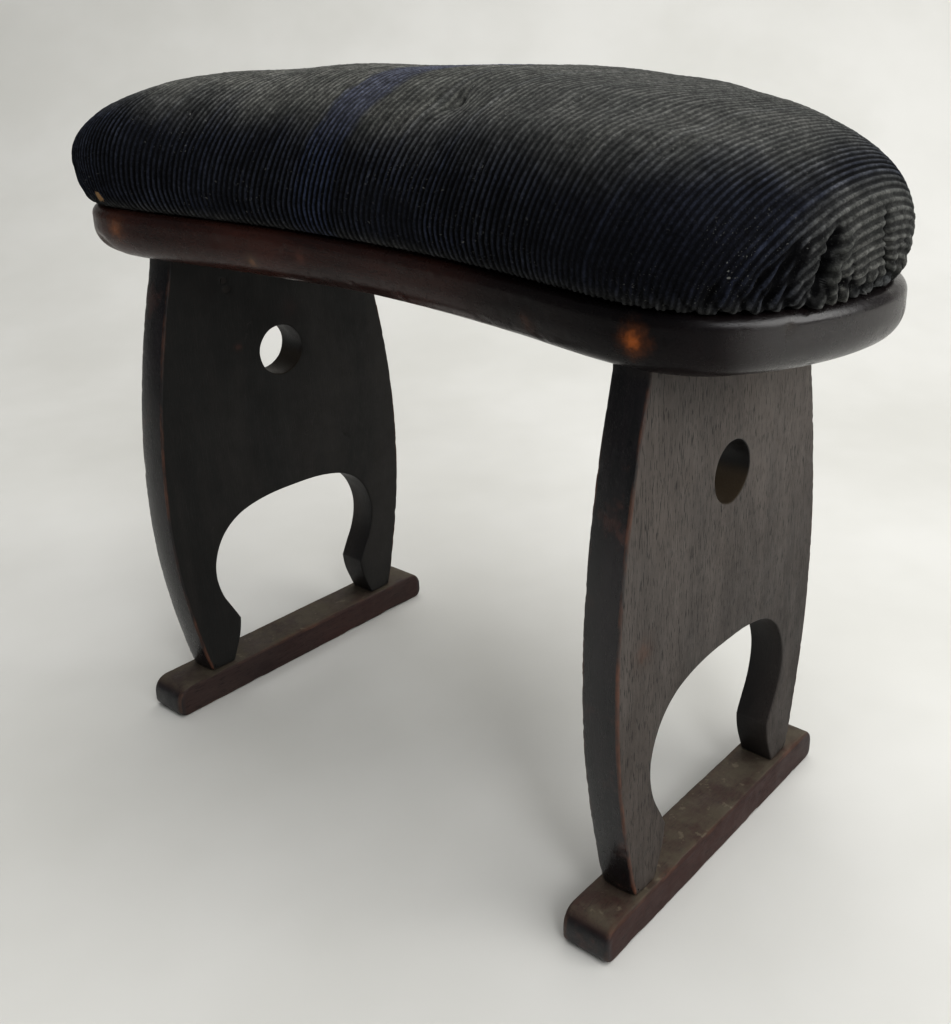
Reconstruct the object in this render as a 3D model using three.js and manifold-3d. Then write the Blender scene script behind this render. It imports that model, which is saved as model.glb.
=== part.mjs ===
// Kneeling bench: a kidney-shaped seat board on two shaped end boards with
// sledge feet, and a crowned corduroy cushion tacked down around its rim.
//
// Millimetres, +Z up. X runs along the bench, -Y is the concave front edge,
// the floor is z = 0, and the origin is at the middle of the footprint.

import * as THREE from 'three';
import { mergeVertices } from 'three/addons/utils/BufferGeometryUtils.js';
import Module from 'manifold-3d';

// ---------------------------------------------------------------- dimensions
const GAP = 0.3;                 // clearance between neighbouring pieces
const DEPTH_SHIFT = -11.8;       // moves the whole design along Y so its box is centred on y = 0

// feet
const FOOT_W = 27.0;             // width, along X
const FOOT_H = 18.8;
const FOOT_L = 200.0;            // length, along Y
const FOOT_TOP_R = 9.5;          // rounding of the foot ends at the top
const FOOT_BOTTOM_R = 5.2;       // rounding of the foot ends at the bottom
const FOOT_ARRIS_R = 1.7;        // rounding of the long arrises

// seat board
const SEAT_UNDER_Z = 281.2;      // underside height
const SEAT_T = 27.3;             // thickness
const SEAT_TOP_Z = SEAT_UNDER_Z + SEAT_T;
const SEAT_LOW_R = 15.0;         // edge rounding below
const SEAT_TOP_R = 6.0;          // edge rounding above
const SEAT_POINTS = 100;         // points around the outline
// right half of the edge (x, y), from the front centre round to the back centre
const SEAT_RIM = [
  [0, -67.6], [50.2, -71.1], [102.2, -77.9], [151.3, -86.6], [199.6, -82.5],
  [225.3, -55.5], [241.1, -7.1], [238.7, 32.2], [220.3, 60.0], [187.1, 79.6],
  [146.1, 95.0], [99.1, 106.3], [48.9, 113.3], [0, 115.0],
];

// end boards
const END_X = 164.4;             // centre of each end board and foot
const END_T = 20.0;              // thickness
const END_INNER_X = END_X - END_T / 2;
const END_BOTTOM_Z = FOOT_H + GAP;
const END_TOP_Z = SEAT_UNDER_Z - GAP;
const END_ARRIS_R = 1.4;         // rounding of the arrises
const END_CROWN = 1.2;           // how far the edges bow across the thickness
const HAND_HOLE_Z = 213.3;       // centre height
const HAND_HOLE_R = 15.5;
const HAND_HOLE_ARRIS_R = 1.2;

// half outline of an end board (distance from its centre line, height):
// the outer edge, from the foot up
const END_OUTER = [
  [73.2, END_BOTTOM_Z], [75.6, 25.5], [78.9, 40.0], [81.7, 53.3], [84.1, 66.7], [86.1, 80.0],
  [87.7, 93.3], [88.8, 106.7], [89.4, 120.0], [89.6, 133.3], [89.4, 146.7], [88.8, 160.0],
  [87.8, 173.3], [86.4, 186.7], [84.7, 200.0], [82.6, 213.3], [80.2, 226.7], [77.5, 240.0],
  [74.5, 253.3], [71.1, 266.7], [67.5, END_TOP_Z],
];
// the cut-out, from its crown down to the claw tip
const END_ARCH = [
  [0, 122.2], [9, 122.1], [18, 121.6], [26.7, 120.4], [34, 118.8], [40.5, 116.6],
  [46.5, 113.3], [51.7, 109.0], [56.0, 103.6], [59.3, 97.0], [61.4, 90.0], [62.1, 83.0],
  [61.5, 76.0], [59.8, 69.0], [57.2, 62.5], [54.0, 56.4], [49.1, 46.6],
];
// the claw, from its tip down to the foot
const END_CLAW = [
  END_ARCH.at(-1), [49.9, 39.5], [52.1, 31.5], [54.6, 25.0], [57.0, END_BOTTOM_Z],
];

// cushion
// right half of its seam line (x, y) along the front, from the centre to the end
const CUSH_FRONT = [
  [0, -65.5], [50.5, -67.4], [102.8, -74.1], [151.6, -82.4],
  [198.8, -80.5], [223.4, -54.6], [236.7, -6.7],
];
const CUSH_Z = SEAT_TOP_Z + GAP; // bottom of the cushion
const CUSH_POINTS = 68;          // points around each ring
const CUSH_HALF_L = 237.3;       // half length of the seam line
const CUSH_BACK_Y = 115.0;       // its back on the centre line
const CUSH_BACK_FULL = 1.9;      // fullness of its back curve
const CUSH_BACK_START_Y = 6.7;   // where the back curve starts at the ends
const CUSH_BACK_STEPS = 7;
const CUSH_OVER = 8.6;           // how far the cushion swells out past its seam line
const CUSH_WAIST = 3.0;          // how far its bottom edge is set in from the seam line
const CUSH_BULGE = 23.0;         // height of the widest line above the cushion bottom
const CUSH_RISE = 56.6;          // height of the crown above the widest line
const CUSH_FULL = 3.6;           // fullness of the dome
const CUSH_FALL = 0.26;          // how much lower the ends are
const CUSH_LEAN = 0.08;          // the right half is packed a little fuller
const DOME_SWEEP = 1.45;         // radians swept by the dome rings, just short of the ridge
const RIDGE_SHARE = 0.34;        // length of the ridge as a share of the length
const RIDGE_MID_Y = (CUSH_FRONT[0][1] + CUSH_BACK_Y) / 2;
const RIDGE_BEND_X = 164;        // the bent ridge line would reach y = 0 here
const COVER_T = 1.8;             // corduroy thickness
const HEM_W = 23.0;              // width of the hem turned in under the cushion
const HEM_T = 1.6;
const STUFF_INSET = COVER_T + GAP + 0.1;  // stuffing inside the outer face of the cover
const STUFF_LIFT = 2.2;          // underside of the stuffing above the hem
const WADDING_T = 3.2;
const WADDING_CHAMFER = 0.6;
const WADDING_CLEARANCE = 1.2;   // between the wadding and the hem
const WADDING_POINTS = 56;

// Bores along a screw or tack axis: from and to are measured from its entry point.
// pocket screws: tilted up and outward from the inner face of each end board
const POCKET_Y = 33.8;           // either side of the centre line
const POCKET_Z = 260.0;
const POCKET_TILT = THREE.MathUtils.degToRad(28);  // from upright
const POCKET_BORE = { radius: 3.5, from: -14, to: 12, segments: 20 };
const POCKET_PILOT = { radius: 2.3, from: 11, to: 34, segments: 14 };
const SEAT_PILOT = { radius: 2.3, from: 19, to: 43, segments: 14 };
const PLUG = { radius: 3.2, from: -14, to: 8.6, segments: 20 };
const PLUG_RECESS = 0.25;        // plug face behind the inner face of the end board
const SEAT_SCREW = { headR: 3.1, shankR: 1.95, length: 33 };
const SEAT_SCREW_DEPTH = 9.0;    // head depth along the pocket

// foot screws: up through the feet into the end boards
const FOOT_SCREW_Y = 65.4;
const FOOT_SCREW_Z = 1.2;        // height of the head
const FOOT_SCREW = { headR: 4.5, shankR: 2.2, length: 44 };
const FOOT_BORE_R = 2.55;
const END_PILOT = { radius: FOOT_BORE_R, from: -4, to: 30, segments: 14 };
// countersunk hole through a foot (radius, height)
const FOOT_HOLE = [
  [0, -1], [5.0, -1], [5.0, 1.4], [FOOT_BORE_R, 4.0], [FOOT_BORE_R, FOOT_H + 1], [0, FOOT_H + 1],
];

// tacks
const TACKS = 20;
const TACK_INSET = 14.0;         // in from the seam line
const TACK_SEAT_HOLE = { radius: 1.1, from: -9.2, to: 1, segments: 8 };
const TACK_COVER_HOLE = { radius: 1.1, from: -2, to: 3, segments: 8 };
// radius, height above the underside of the head
const TACK_PROFILE = [
  [0, -10.2], [0.55, -7], [0.8, 0], [3.3, 0], [3.0, 0.6], [1.6, 1.15], [0, 1.3],
];

const MATERIALS = {
  ebonised: { color: 0x2b1d17, roughness: 0.46, metalness: 0 },
  footWood: { color: 0x3a2820, roughness: 0.58, metalness: 0 },
  filler: { color: 0x33221a, roughness: 0.7, metalness: 0 },
  steel: { color: 0x6b6660, roughness: 0.5, metalness: 0.9 },
  tackMetal: { color: 0x3a3835, roughness: 0.6, metalness: 0.8 },
  corduroy: { color: 0x1c1d20, roughness: 0.95, metalness: 0 },
  flock: { color: 0x8a7d66, roughness: 1, metalness: 0 },
  felt: { color: 0xa89a80, roughness: 1, metalness: 0 },
};

// -------------------------------------------------------------- mesh helpers
const wasm = await Module();
wasm.setup();

function geometry(positions, triangles) {
  const result = new THREE.BufferGeometry();
  result.setAttribute('position', new THREE.Float32BufferAttribute(positions, 3));
  result.setIndex(triangles);
  return result;
}

function toSolid(source) {
  source.deleteAttribute('normal');
  source.deleteAttribute('uv');
  const merged = mergeVertices(source, 1e-4);
  return new wasm.Manifold(new wasm.Mesh({
    numProp: 3,
    vertProperties: new Float32Array(merged.attributes.position.array),
    triVerts: new Uint32Array(merged.index.array),
  }));
}

function toGeometry(manifold) {
  const mesh = manifold.getMesh();
  return geometry(Array.from(mesh.vertProperties), Array.from(mesh.triVerts));
}

// adds the wall between two rings of vertices, given the index where each starts
function joinRings(triangles, lower, upper, count) {
  for (let i = 0; i < count; i++) {
    const k = (i + 1) % count;
    triangles.push(lower + i, lower + k, upper + k, lower + i, upper + k, upper + i);
  }
}

// fills an outer ring less its holes; each loop is { start, ring }, the outer one first
function capTriangles(loops, faceUp) {
  const outlines = loops.map(({ ring }) => ring.map(([x, y]) => new THREE.Vector2(x, y)));
  const corners = outlines.flat();
  const indices = loops.flatMap(({ start, ring }) => ring.map((_, i) => start + i));
  const [contour, ...holes] = outlines;
  return THREE.ShapeUtils.triangulateShape(contour, holes).flatMap((face) => {
    const [A, B, C] = face.map((i) => corners[i]);
    const [a, b, c] = face.map((i) => indices[i]);
    const counterclockwise = (B.x - A.x) * (C.y - A.y) - (B.y - A.y) * (C.x - A.x) > 0;
    return counterclockwise === faceUp ? [a, b, c] : [a, c, b];
  });
}

// moves every corner of a closed outline to its left, with mitred corners:
// a counterclockwise outline shrinks and a clockwise one widens
function inset(outline, distance) {
  const count = outline.length;
  return outline.map(([x, y], i) => {
    const before = outline[(i + count - 1) % count];
    const after = outline[(i + 1) % count];
    const inX = x - before[0];
    const inY = y - before[1];
    const outX = after[0] - x;
    const outY = after[1] - y;
    const inLength = Math.hypot(inX, inY);
    const outLength = Math.hypot(outX, outY);
    const mitreX = -inY / inLength - outY / outLength;
    const mitreY = inX / inLength + outX / outLength;
    const scale = 2 / (mitreX * mitreX + mitreY * mitreY);
    return [x + mitreX * scale * distance, y + mitreY * scale * distance];
  });
}

const lying = (x, y, height) => [x, y, height];
const uprightAt = (centreX) => (y, z, height) => [height + centreX, y, z];

// A slab with shaped edges. Each wall is { outline, edge }: the outer wall first,
// counterclockwise, then holes, clockwise. An edge lists [height along the axis, inset].
function slab(walls, place = lying) {
  const positions = [];
  const triangles = [];
  const bottom = [];
  const top = [];
  for (const { outline, edge } of walls) {
    const count = outline.length;
    edge.forEach(([height, distance], level) => {
      const ring = inset(outline, distance);
      const start = positions.length / 3;
      positions.push(...ring.flatMap(([a, b]) => place(a, b, height)));
      if (level === 0) bottom.push({ start, ring });
      else joinRings(triangles, start - count, start, count);
      if (level === edge.length - 1) top.push({ start, ring });
    });
  }
  triangles.push(...capTriangles(bottom, false), ...capTriangles(top, true));
  return geometry(positions, triangles);
}

// a closed skin through rings of [x, y, z], capped facing down at the first and up at the last
function skin(rings) {
  const count = rings[0].length;
  const lastStart = (rings.length - 1) * count;
  const triangles = [];
  for (let j = 1; j < rings.length; j++) {
    joinRings(triangles, (j - 1) * count, j * count, count);
  }
  triangles.push(
    ...capTriangles([{ start: 0, ring: rings[0] }], false),
    ...capTriangles([{ start: lastStart, ring: rings.at(-1) }], true),
  );
  return geometry(rings.flat(2), triangles);
}

// edge rounded on both arrises across a thickness, optionally bowed, as [position, inset]
function roundedEdge(thickness, radius, segments, crown = 0) {
  const bow = (x) => crown * (2 * x / thickness) ** 2;
  const half = [];
  for (let i = 0; i <= segments; i++) {
    const angle = (1 - i / segments) * Math.PI / 2;
    const x = -thickness / 2 + radius * (1 - Math.sin(angle));
    half.push([x, radius * (1 - Math.cos(angle)) + bow(x)]);
  }
  const middle = crown > 0 ? [[0, 0]] : [];
  const mirroredHalf = half.map(([x, distance]) => [-x, distance]).reverse();
  return [...half, ...middle, ...mirroredHalf];
}

// profile: [radius, height] from the bottom axis point to the top axis point
function lathe(profile, segments) {
  const positions = [];
  const triangles = [];
  const rings = profile.map(([radius, height]) => {
    const start = positions.length / 3;
    const onAxis = radius < 1e-6;
    if (onAxis) {
      positions.push(0, 0, height);
      return { start, onAxis };
    }
    for (let i = 0; i < segments; i++) {
      const angle = 2 * Math.PI * i / segments;
      positions.push(radius * Math.cos(angle), radius * Math.sin(angle), height);
    }
    return { start, onAxis };
  });
  for (let j = 0; j + 1 < rings.length; j++) {
    const lower = rings[j];
    const upper = rings[j + 1];
    if (!lower.onAxis && !upper.onAxis) {
      joinRings(triangles, lower.start, upper.start, segments);
      continue;
    }
    for (let i = 0; i < segments; i++) {
      const k = (i + 1) % segments;
      if (lower.onAxis) triangles.push(lower.start, upper.start + k, upper.start + i);
      else triangles.push(lower.start + i, lower.start + k, upper.start);
    }
  }
  return geometry(positions, triangles);
}

// stands a piece made along +Z at a point, pointing along a direction
function stand(piece, point, direction = [0, 0, 1]) {
  const turn = new THREE.Quaternion().setFromUnitVectors(
    new THREE.Vector3(0, 0, 1),
    new THREE.Vector3(...direction).normalize(),
  );
  piece.applyQuaternion(turn);
  piece.translate(...point);
  return piece;
}

function rod({ radius, from, to, segments }, point, direction) {
  const profile = [[0, from], [radius, from], [radius, to], [0, to]];
  return toSolid(stand(lathe(profile, segments), point, direction));
}

// ------------------------------------------------------------- curve helpers
// Gauss-Jordan elimination with pivoting; each row ends with its right-hand side
function solveLinear(rows) {
  const n = rows.length;
  for (let i = 0; i < n; i++) {
    let pivot = i;
    for (let r = i + 1; r < n; r++) {
      if (Math.abs(rows[r][i]) > Math.abs(rows[pivot][i])) pivot = r;
    }
    [rows[i], rows[pivot]] = [rows[pivot], rows[i]];
    for (let r = 0; r < n; r++) {
      if (r === i) continue;
      const factor = rows[r][i] / rows[i][i];
      for (let c = i; c <= n; c++) rows[r][c] -= factor * rows[i][c];
    }
  }
  return rows.map((row, i) => row[n] / row[i]);
}

// running length along a closed outline, ending with its full length
function runningLengths(points) {
  const lengths = [0];
  points.forEach((point, i) => {
    const next = points[(i + 1) % points.length];
    lengths.push(lengths[i] + Math.hypot(next[0] - point[0], next[1] - point[1]));
  });
  return lengths;
}

// samples a closed cubic spline, its parameter being the chord length
function sampleClosedSpline(points, samples) {
  const n = points.length;
  const knots = runningLengths(points);
  const spans = points.map((_, i) => knots[i + 1] - knots[i]);
  const secondDerivatives = [0, 1].map((axis) => {
    const value = (i) => points[(i + n) % n][axis];
    return solveLinear(points.map((_, i) => {
      const row = new Array(n + 1).fill(0);
      const before = spans[(i + n - 1) % n];
      const after = spans[i];
      row[(i + n - 1) % n] += before;
      row[i] += 2 * (before + after);
      row[(i + 1) % n] += after;
      row[n] = 6 * ((value(i + 1) - value(i)) / after - (value(i) - value(i - 1)) / before);
      return row;
    }));
  });
  const pointAt = (u) => {
    let i = 0;
    while (i < n - 1 && u > knots[i + 1]) i++;
    const j = (i + 1) % n;
    const span = spans[i];
    const t = u - knots[i];
    return [0, 1].map((axis) => {
      const bendA = secondDerivatives[axis][i];
      const bendB = secondDerivatives[axis][j];
      return bendA * (span - t) ** 3 / (6 * span) + bendB * t ** 3 / (6 * span)
        + (points[i][axis] / span - bendA * span / 6) * (span - t)
        + (points[j][axis] / span - bendB * span / 6) * t;
    });
  };
  return Array.from({ length: samples }, (_, i) => pointAt(knots[n] * i / samples));
}

// evenly spaced points and outward normals on a smooth counterclockwise outline
function smoothOutline(controls, count) {
  const samples = 4000;
  const dense = sampleClosedSpline(controls, samples);
  const lengths = runningLengths(dense);
  const result = [];
  let j = 0;
  for (let i = 0; i < count; i++) {
    const target = lengths[samples] * i / count;
    while (lengths[j + 1] < target) j++;
    const share = (target - lengths[j]) / (lengths[j + 1] - lengths[j]);
    const [x, y] = dense[j];
    const next = dense[(j + 1) % samples];
    const alongX = next[0] - x;
    const alongY = next[1] - y;
    const step = Math.hypot(alongX, alongY);
    result.push({
      point: [x + alongX * share, y + alongY * share],
      normal: [alongY / step, -alongX / step],
    });
  }
  return result;
}

// the outline's points, moved outward by a distance
function offsetOutline(outline, distance) {
  return outline.map(({ point, normal }) => [
    point[0] + normal[0] * distance,
    point[1] + normal[1] * distance,
  ]);
}

// open curve through the points, resampled at equal spacing
function smoothOpen(points, divisions) {
  const controls = points.map(([x, y]) => new THREE.Vector3(x, y, 0));
  const curve = new THREE.CatmullRomCurve3(controls, false, 'centripetal');
  return curve.getSpacedPoints(divisions).map(({ x, y }) => [x, y]);
}

const mirror = ([x, y]) => [-x, y];

// closes a right half that runs from the front centre to the back centre
const closeHalf = (half) => [...half, ...half.slice(1, -1).reverse().map(mirror)];

// ------------------------------------------------------------ shared layout
const group = new THREE.Group();
group.name = 'kneeling_bench';

function add(name, piece, material) {
  piece.translate(0, DEPTH_SHIFT, 0);
  piece.computeVertexNormals();
  const mesh = new THREE.Mesh(piece, new THREE.MeshStandardMaterial(material));
  mesh.name = name;
  group.add(mesh);
}

const SIDES = [{ side: 'left', sx: -1 }, { side: 'right', sx: 1 }];
const DEPTHS = [{ depth: 'front', sy: -1 }, { depth: 'back', sy: 1 }];

// one pocket screw and one foot screw at each corner
const corners = SIDES.flatMap(({ side, sx }) => DEPTHS.map(({ depth, sy }) => ({
  name: `${side}_${depth}`,
  side,
  sx,
  pocket: [sx * END_INNER_X, sy * POCKET_Y, POCKET_Z],
  pocketDirection: [sx * Math.sin(POCKET_TILT), 0, Math.cos(POCKET_TILT)],
  footScrewX: sx * END_X,
  footScrewY: sy * FOOT_SCREW_Y,
})));

// control points of the cushion's seam line
function cushionControls() {
  const back = [];
  const exponent = 2 / CUSH_BACK_FULL;
  for (let i = 1; i < CUSH_BACK_STEPS; i++) {
    const angle = (i / CUSH_BACK_STEPS) * Math.PI / 2;
    back.push([
      CUSH_HALF_L * Math.cos(angle) ** exponent,
      CUSH_BACK_START_Y + (CUSH_BACK_Y - CUSH_BACK_START_Y) * Math.sin(angle) ** exponent,
    ]);
  }
  return closeHalf([...CUSH_FRONT, ...back, [0, CUSH_BACK_Y]]);
}

const seamControls = cushionControls();
const seam = smoothOutline(seamControls, CUSH_POINTS);

// every second point, so the tacks miss the front centre
const tackSpots = offsetOutline(
  smoothOutline(seamControls, TACKS * 2).filter((_, i) => i % 2 === 1),
  -TACK_INSET,
);

// ---------------------------------------------------------------- woodwork
function addSeatBoard() {
  const lowSegments = 4;
  const topSegments = 3;
  const edge = [];
  for (let i = 0; i <= lowSegments; i++) {
    const angle = i / lowSegments * Math.PI / 2;
    edge.push([
      SEAT_UNDER_Z + SEAT_LOW_R * (1 - Math.cos(angle)),
      SEAT_LOW_R * (1 - Math.sin(angle)),
    ]);
  }
  for (let i = 0; i <= topSegments; i++) {
    const angle = i / topSegments * Math.PI / 2;
    edge.push([
      SEAT_TOP_Z - SEAT_TOP_R * (1 - Math.sin(angle)),
      SEAT_TOP_R * (1 - Math.cos(angle)),
    ]);
  }
  const outline = smoothOutline(closeHalf(SEAT_RIM), SEAT_POINTS).map(({ point }) => point);
  let body = toSolid(slab([{ outline, edge }]));
  for (const { pocket, pocketDirection } of corners) {
    body = body.subtract(rod(SEAT_PILOT, pocket, pocketDirection));
  }
  for (const [x, y] of tackSpots) {
    body = body.subtract(rod(TACK_SEAT_HOLE, [x, y, SEAT_TOP_Z]));
  }
  add('seat_board', toGeometry(body), MATERIALS.ebonised);
}

// counterclockwise outline of an end board
function endBoardOutline() {
  const half = [
    ...smoothOpen(END_ARCH, 19).slice(0, -1),
    ...smoothOpen(END_CLAW, 3),
    ...smoothOpen(END_OUTER, 26),
  ];
  return [...half.slice(1).reverse().map(mirror), ...half];
}

// clockwise, as a hole in a slab
function handHoleOutline() {
  const count = 32;
  return Array.from({ length: count }, (_, i) => {
    const angle = 2 * Math.PI * i / count;
    return [HAND_HOLE_R * Math.cos(angle), HAND_HOLE_Z + HAND_HOLE_R * Math.sin(angle)];
  }).reverse();
}

function addEndBoards() {
  const walls = [
    { outline: endBoardOutline(), edge: roundedEdge(END_T, END_ARRIS_R, 2, END_CROWN) },
    { outline: handHoleOutline(), edge: roundedEdge(END_T, HAND_HOLE_ARRIS_R, 2) },
  ];
  for (const { side, sx } of SIDES) {
    const ownCorners = corners.filter((corner) => corner.side === side);
    let body = toSolid(slab(walls, uprightAt(sx * END_X)));
    for (const { pocket, pocketDirection } of ownCorners) {
      body = body.subtract(rod(POCKET_BORE, pocket, pocketDirection));
      body = body.subtract(rod(POCKET_PILOT, pocket, pocketDirection));
    }
    for (const { footScrewX, footScrewY } of ownCorners) {
      body = body.subtract(rod(END_PILOT, [footScrewX, footScrewY, FOOT_H]));
    }
    add(`end_board_${side}`, toGeometry(body), MATERIALS.ebonised);
  }
}

// side view of a foot (y, z), counterclockwise
function footOutline() {
  const corner = (centreY, centreZ, radius, startDegrees, segments) => {
    const arc = [];
    for (let i = 0; i <= segments; i++) {
      const angle = THREE.MathUtils.degToRad(startDegrees + 90 * i / segments);
      arc.push([centreY + radius * Math.cos(angle), centreZ + radius * Math.sin(angle)]);
    }
    return arc;
  };
  const bottomY = FOOT_L / 2 - FOOT_BOTTOM_R;
  const topY = FOOT_L / 2 - FOOT_TOP_R;
  const topZ = FOOT_H - FOOT_TOP_R;
  return [
    ...corner(bottomY, FOOT_BOTTOM_R, FOOT_BOTTOM_R, -90, 4),
    ...corner(topY, topZ, FOOT_TOP_R, 0, 7),
    ...corner(-topY, topZ, FOOT_TOP_R, 90, 7),
    ...corner(-bottomY, FOOT_BOTTOM_R, FOOT_BOTTOM_R, 180, 4),
  ];
}

function addFeet() {
  const walls = [{ outline: footOutline(), edge: roundedEdge(FOOT_W, FOOT_ARRIS_R, 3) }];
  for (const { side, sx } of SIDES) {
    let body = toSolid(slab(walls, uprightAt(sx * END_X)));
    for (const { footScrewX, footScrewY } of corners.filter((corner) => corner.side === side)) {
      const hole = stand(lathe(FOOT_HOLE, 18), [footScrewX, footScrewY, 0]);
      body = body.subtract(toSolid(hole));
    }
    add(`foot_${side}`, toGeometry(body), MATERIALS.footWood);
  }
}

// --------------------------------------------------------- screws and plugs
// countersunk slotted wood screw along +Z: head at z = 0, point at the top
function woodScrew({ headR, shankR, length }) {
  const rimHeight = 0.5;
  const slotWidth = 0.9;
  const slotDepth = 0.9;
  const body = toSolid(lathe([
    [0, 0],
    [headR, 0],
    [headR, rimHeight],
    [shankR, rimHeight + headR - shankR],
    [shankR, length * 0.45],
    [shankR * 0.82, length * 0.5],
    [shankR * 0.7, length - 4],
    [0, length],
  ], 14));
  const slot = new THREE.BoxGeometry(headR * 2.4, slotWidth, slotDepth * 2);
  return toGeometry(body.subtract(toSolid(slot)));
}

function addSeatScrew({ name, pocket, pocketDirection }) {
  const head = pocket.map((v, i) => v + pocketDirection[i] * SEAT_SCREW_DEPTH);
  const screw = stand(woodScrew(SEAT_SCREW), head, pocketDirection);
  add(`seat_screw_${name}`, screw, MATERIALS.steel);
}

// fills a pocket, trimmed just behind the inner face of the end board
function addScrewPlug({ name, sx, pocket, pocketDirection }) {
  const [faceX, y, z] = pocket;
  const keepW = 40;
  const keep = new THREE.BoxGeometry(keepW, 40, 60);
  keep.translate(faceX + sx * (keepW / 2 + PLUG_RECESS), y, z);
  const plug = rod(PLUG, pocket, pocketDirection).intersect(toSolid(keep));
  add(`screw_plug_${name}`, toGeometry(plug), MATERIALS.filler);
}

function addFootScrew({ name, footScrewX, footScrewY }) {
  const screw = stand(woodScrew(FOOT_SCREW), [footScrewX, footScrewY, FOOT_SCREW_Z]);
  add(`foot_screw_${name}`, screw, MATERIALS.steel);
}

// ------------------------------------------------------------------ cushion
const ringAt = (distance, z) => offsetOutline(seam, distance).map(([x, y]) => [x, y, z]);

// Rings of a cushion surface from its bottom edge to the ridge. thickness: how far it lies
// inside the outer face of the cover; floor: height of its bottom edge above the cushion bottom.
function cushionRings({ thickness, floor, flankSteps, domeSteps }) {
  const over = CUSH_OVER - thickness;
  const widestZ = CUSH_Z + CUSH_BULGE;
  const rings = [];
  for (let j = 0; j <= flankSteps; j++) {
    const angle = (j / flankSteps - 1) * Math.PI / 2;
    const distance = -CUSH_WAIST + (over + CUSH_WAIST) * Math.cos(angle);
    rings.push(ringAt(distance, widestZ + (CUSH_BULGE - floor) * Math.sin(angle)));
  }
  const widest = offsetOutline(seam, over);
  const halfLength = CUSH_HALF_L + CUSH_OVER;
  for (let j = 1; j <= domeSteps; j++) {
    // share of the way in from the widest line to the ridge
    const inward = 1 - Math.cos(j / domeSteps * DOME_SWEEP);
    rings.push(widest.map(([rimX, rimY]) => {
      const ridgeX = rimX * RIDGE_SHARE;
      const ridgeY = RIDGE_MID_Y * (1 - (ridgeX / RIDGE_BEND_X) ** 2);
      const x = rimX * (1 - inward) + ridgeX * inward;
      const y = rimY * (1 - inward) + ridgeY * inward;
      const along = x / halfLength;
      const rise = CUSH_RISE * (1 - CUSH_FALL * along ** 2 + CUSH_LEAN * along) - thickness;
      return [x, y, widestZ + rise * Math.sqrt(1 - (1 - inward) ** CUSH_FULL)];
    }));
  }
  return rings;
}

// corduroy skin whose hem is turned in under the cushion
function addCover() {
  const inner = cushionRings({ thickness: COVER_T, floor: HEM_T, flankSteps: 4, domeSteps: 7 });
  const outer = cushionRings({ thickness: 0, floor: 0, flankSteps: 5, domeSteps: 9 });
  const hemEdge = -CUSH_WAIST - HEM_W;
  // down the inside, round the edge of the hem and up the outside
  let body = toSolid(skin([
    ...inner.reverse(),
    ringAt(hemEdge, CUSH_Z + HEM_T),
    ringAt(hemEdge, CUSH_Z),
    ...outer,
  ]));
  for (const [x, y] of tackSpots) {
    body = body.subtract(rod(TACK_COVER_HOLE, [x, y, CUSH_Z]));
  }
  add('cushion_cover', toGeometry(body), MATERIALS.corduroy);
}

// fills the cover above the hem and the tack heads
function addStuffing() {
  const rings = cushionRings({
    thickness: STUFF_INSET,
    floor: HEM_T + STUFF_LIFT,
    flankSteps: 4,
    domeSteps: 7,
  });
  add('cushion_stuffing', skin(rings), MATERIALS.flock);
}

// felt sheet on the board inside the ring of the hem
function addWadding() {
  const outline = offsetOutline(
    smoothOutline(seamControls, WADDING_POINTS),
    -(CUSH_WAIST + HEM_W + WADDING_CLEARANCE),
  );
  const topZ = CUSH_Z + WADDING_T;
  const edge = [
    [CUSH_Z, WADDING_CHAMFER],
    [CUSH_Z + WADDING_CHAMFER, 0],
    [topZ - WADDING_CHAMFER, 0],
    [topZ, WADDING_CHAMFER],
  ];
  add('cushion_wadding', slab([{ outline, edge }]), MATERIALS.felt);
}

// through the hem into the seat board
function addTacks() {
  tackSpots.forEach(([x, y], i) => {
    const tack = stand(lathe(TACK_PROFILE, 10), [x, y, CUSH_Z + HEM_T + GAP]);
    add(`cover_tack_${String(i + 1).padStart(2, '0')}`, tack, MATERIALS.tackMetal);
  });
}

// ----------------------------------------------------------------- assembly
addSeatBoard();
addEndBoards();
addFeet();
for (const corner of corners) {
  addSeatScrew(corner);
  addScrewPlug(corner);
}
corners.forEach(addFootScrew);
addCover();
addStuffing();
addWadding();
addTacks();

export default group;
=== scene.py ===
"""Kneeling bench: the looks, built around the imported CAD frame. Metres, +Z up."""
import math

import bpy
import numpy as np
from mathutils import Matrix, Vector, Euler
from mathutils.geometry import delaunay_2d_cdt


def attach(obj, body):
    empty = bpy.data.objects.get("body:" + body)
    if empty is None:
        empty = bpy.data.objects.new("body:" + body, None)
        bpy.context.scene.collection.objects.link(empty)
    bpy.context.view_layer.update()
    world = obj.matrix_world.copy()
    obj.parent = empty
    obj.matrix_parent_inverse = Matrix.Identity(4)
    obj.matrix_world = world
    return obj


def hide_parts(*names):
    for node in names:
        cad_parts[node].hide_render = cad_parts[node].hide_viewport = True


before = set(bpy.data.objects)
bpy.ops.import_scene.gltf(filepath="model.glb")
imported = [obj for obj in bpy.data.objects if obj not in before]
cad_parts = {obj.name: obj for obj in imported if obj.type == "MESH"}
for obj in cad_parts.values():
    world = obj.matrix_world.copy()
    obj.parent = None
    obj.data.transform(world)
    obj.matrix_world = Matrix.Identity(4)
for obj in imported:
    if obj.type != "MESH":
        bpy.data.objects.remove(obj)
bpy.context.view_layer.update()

MM = 0.001
SHIFT_Y = -11.8                 # the design's offset along Y in the row frame, mm

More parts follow.
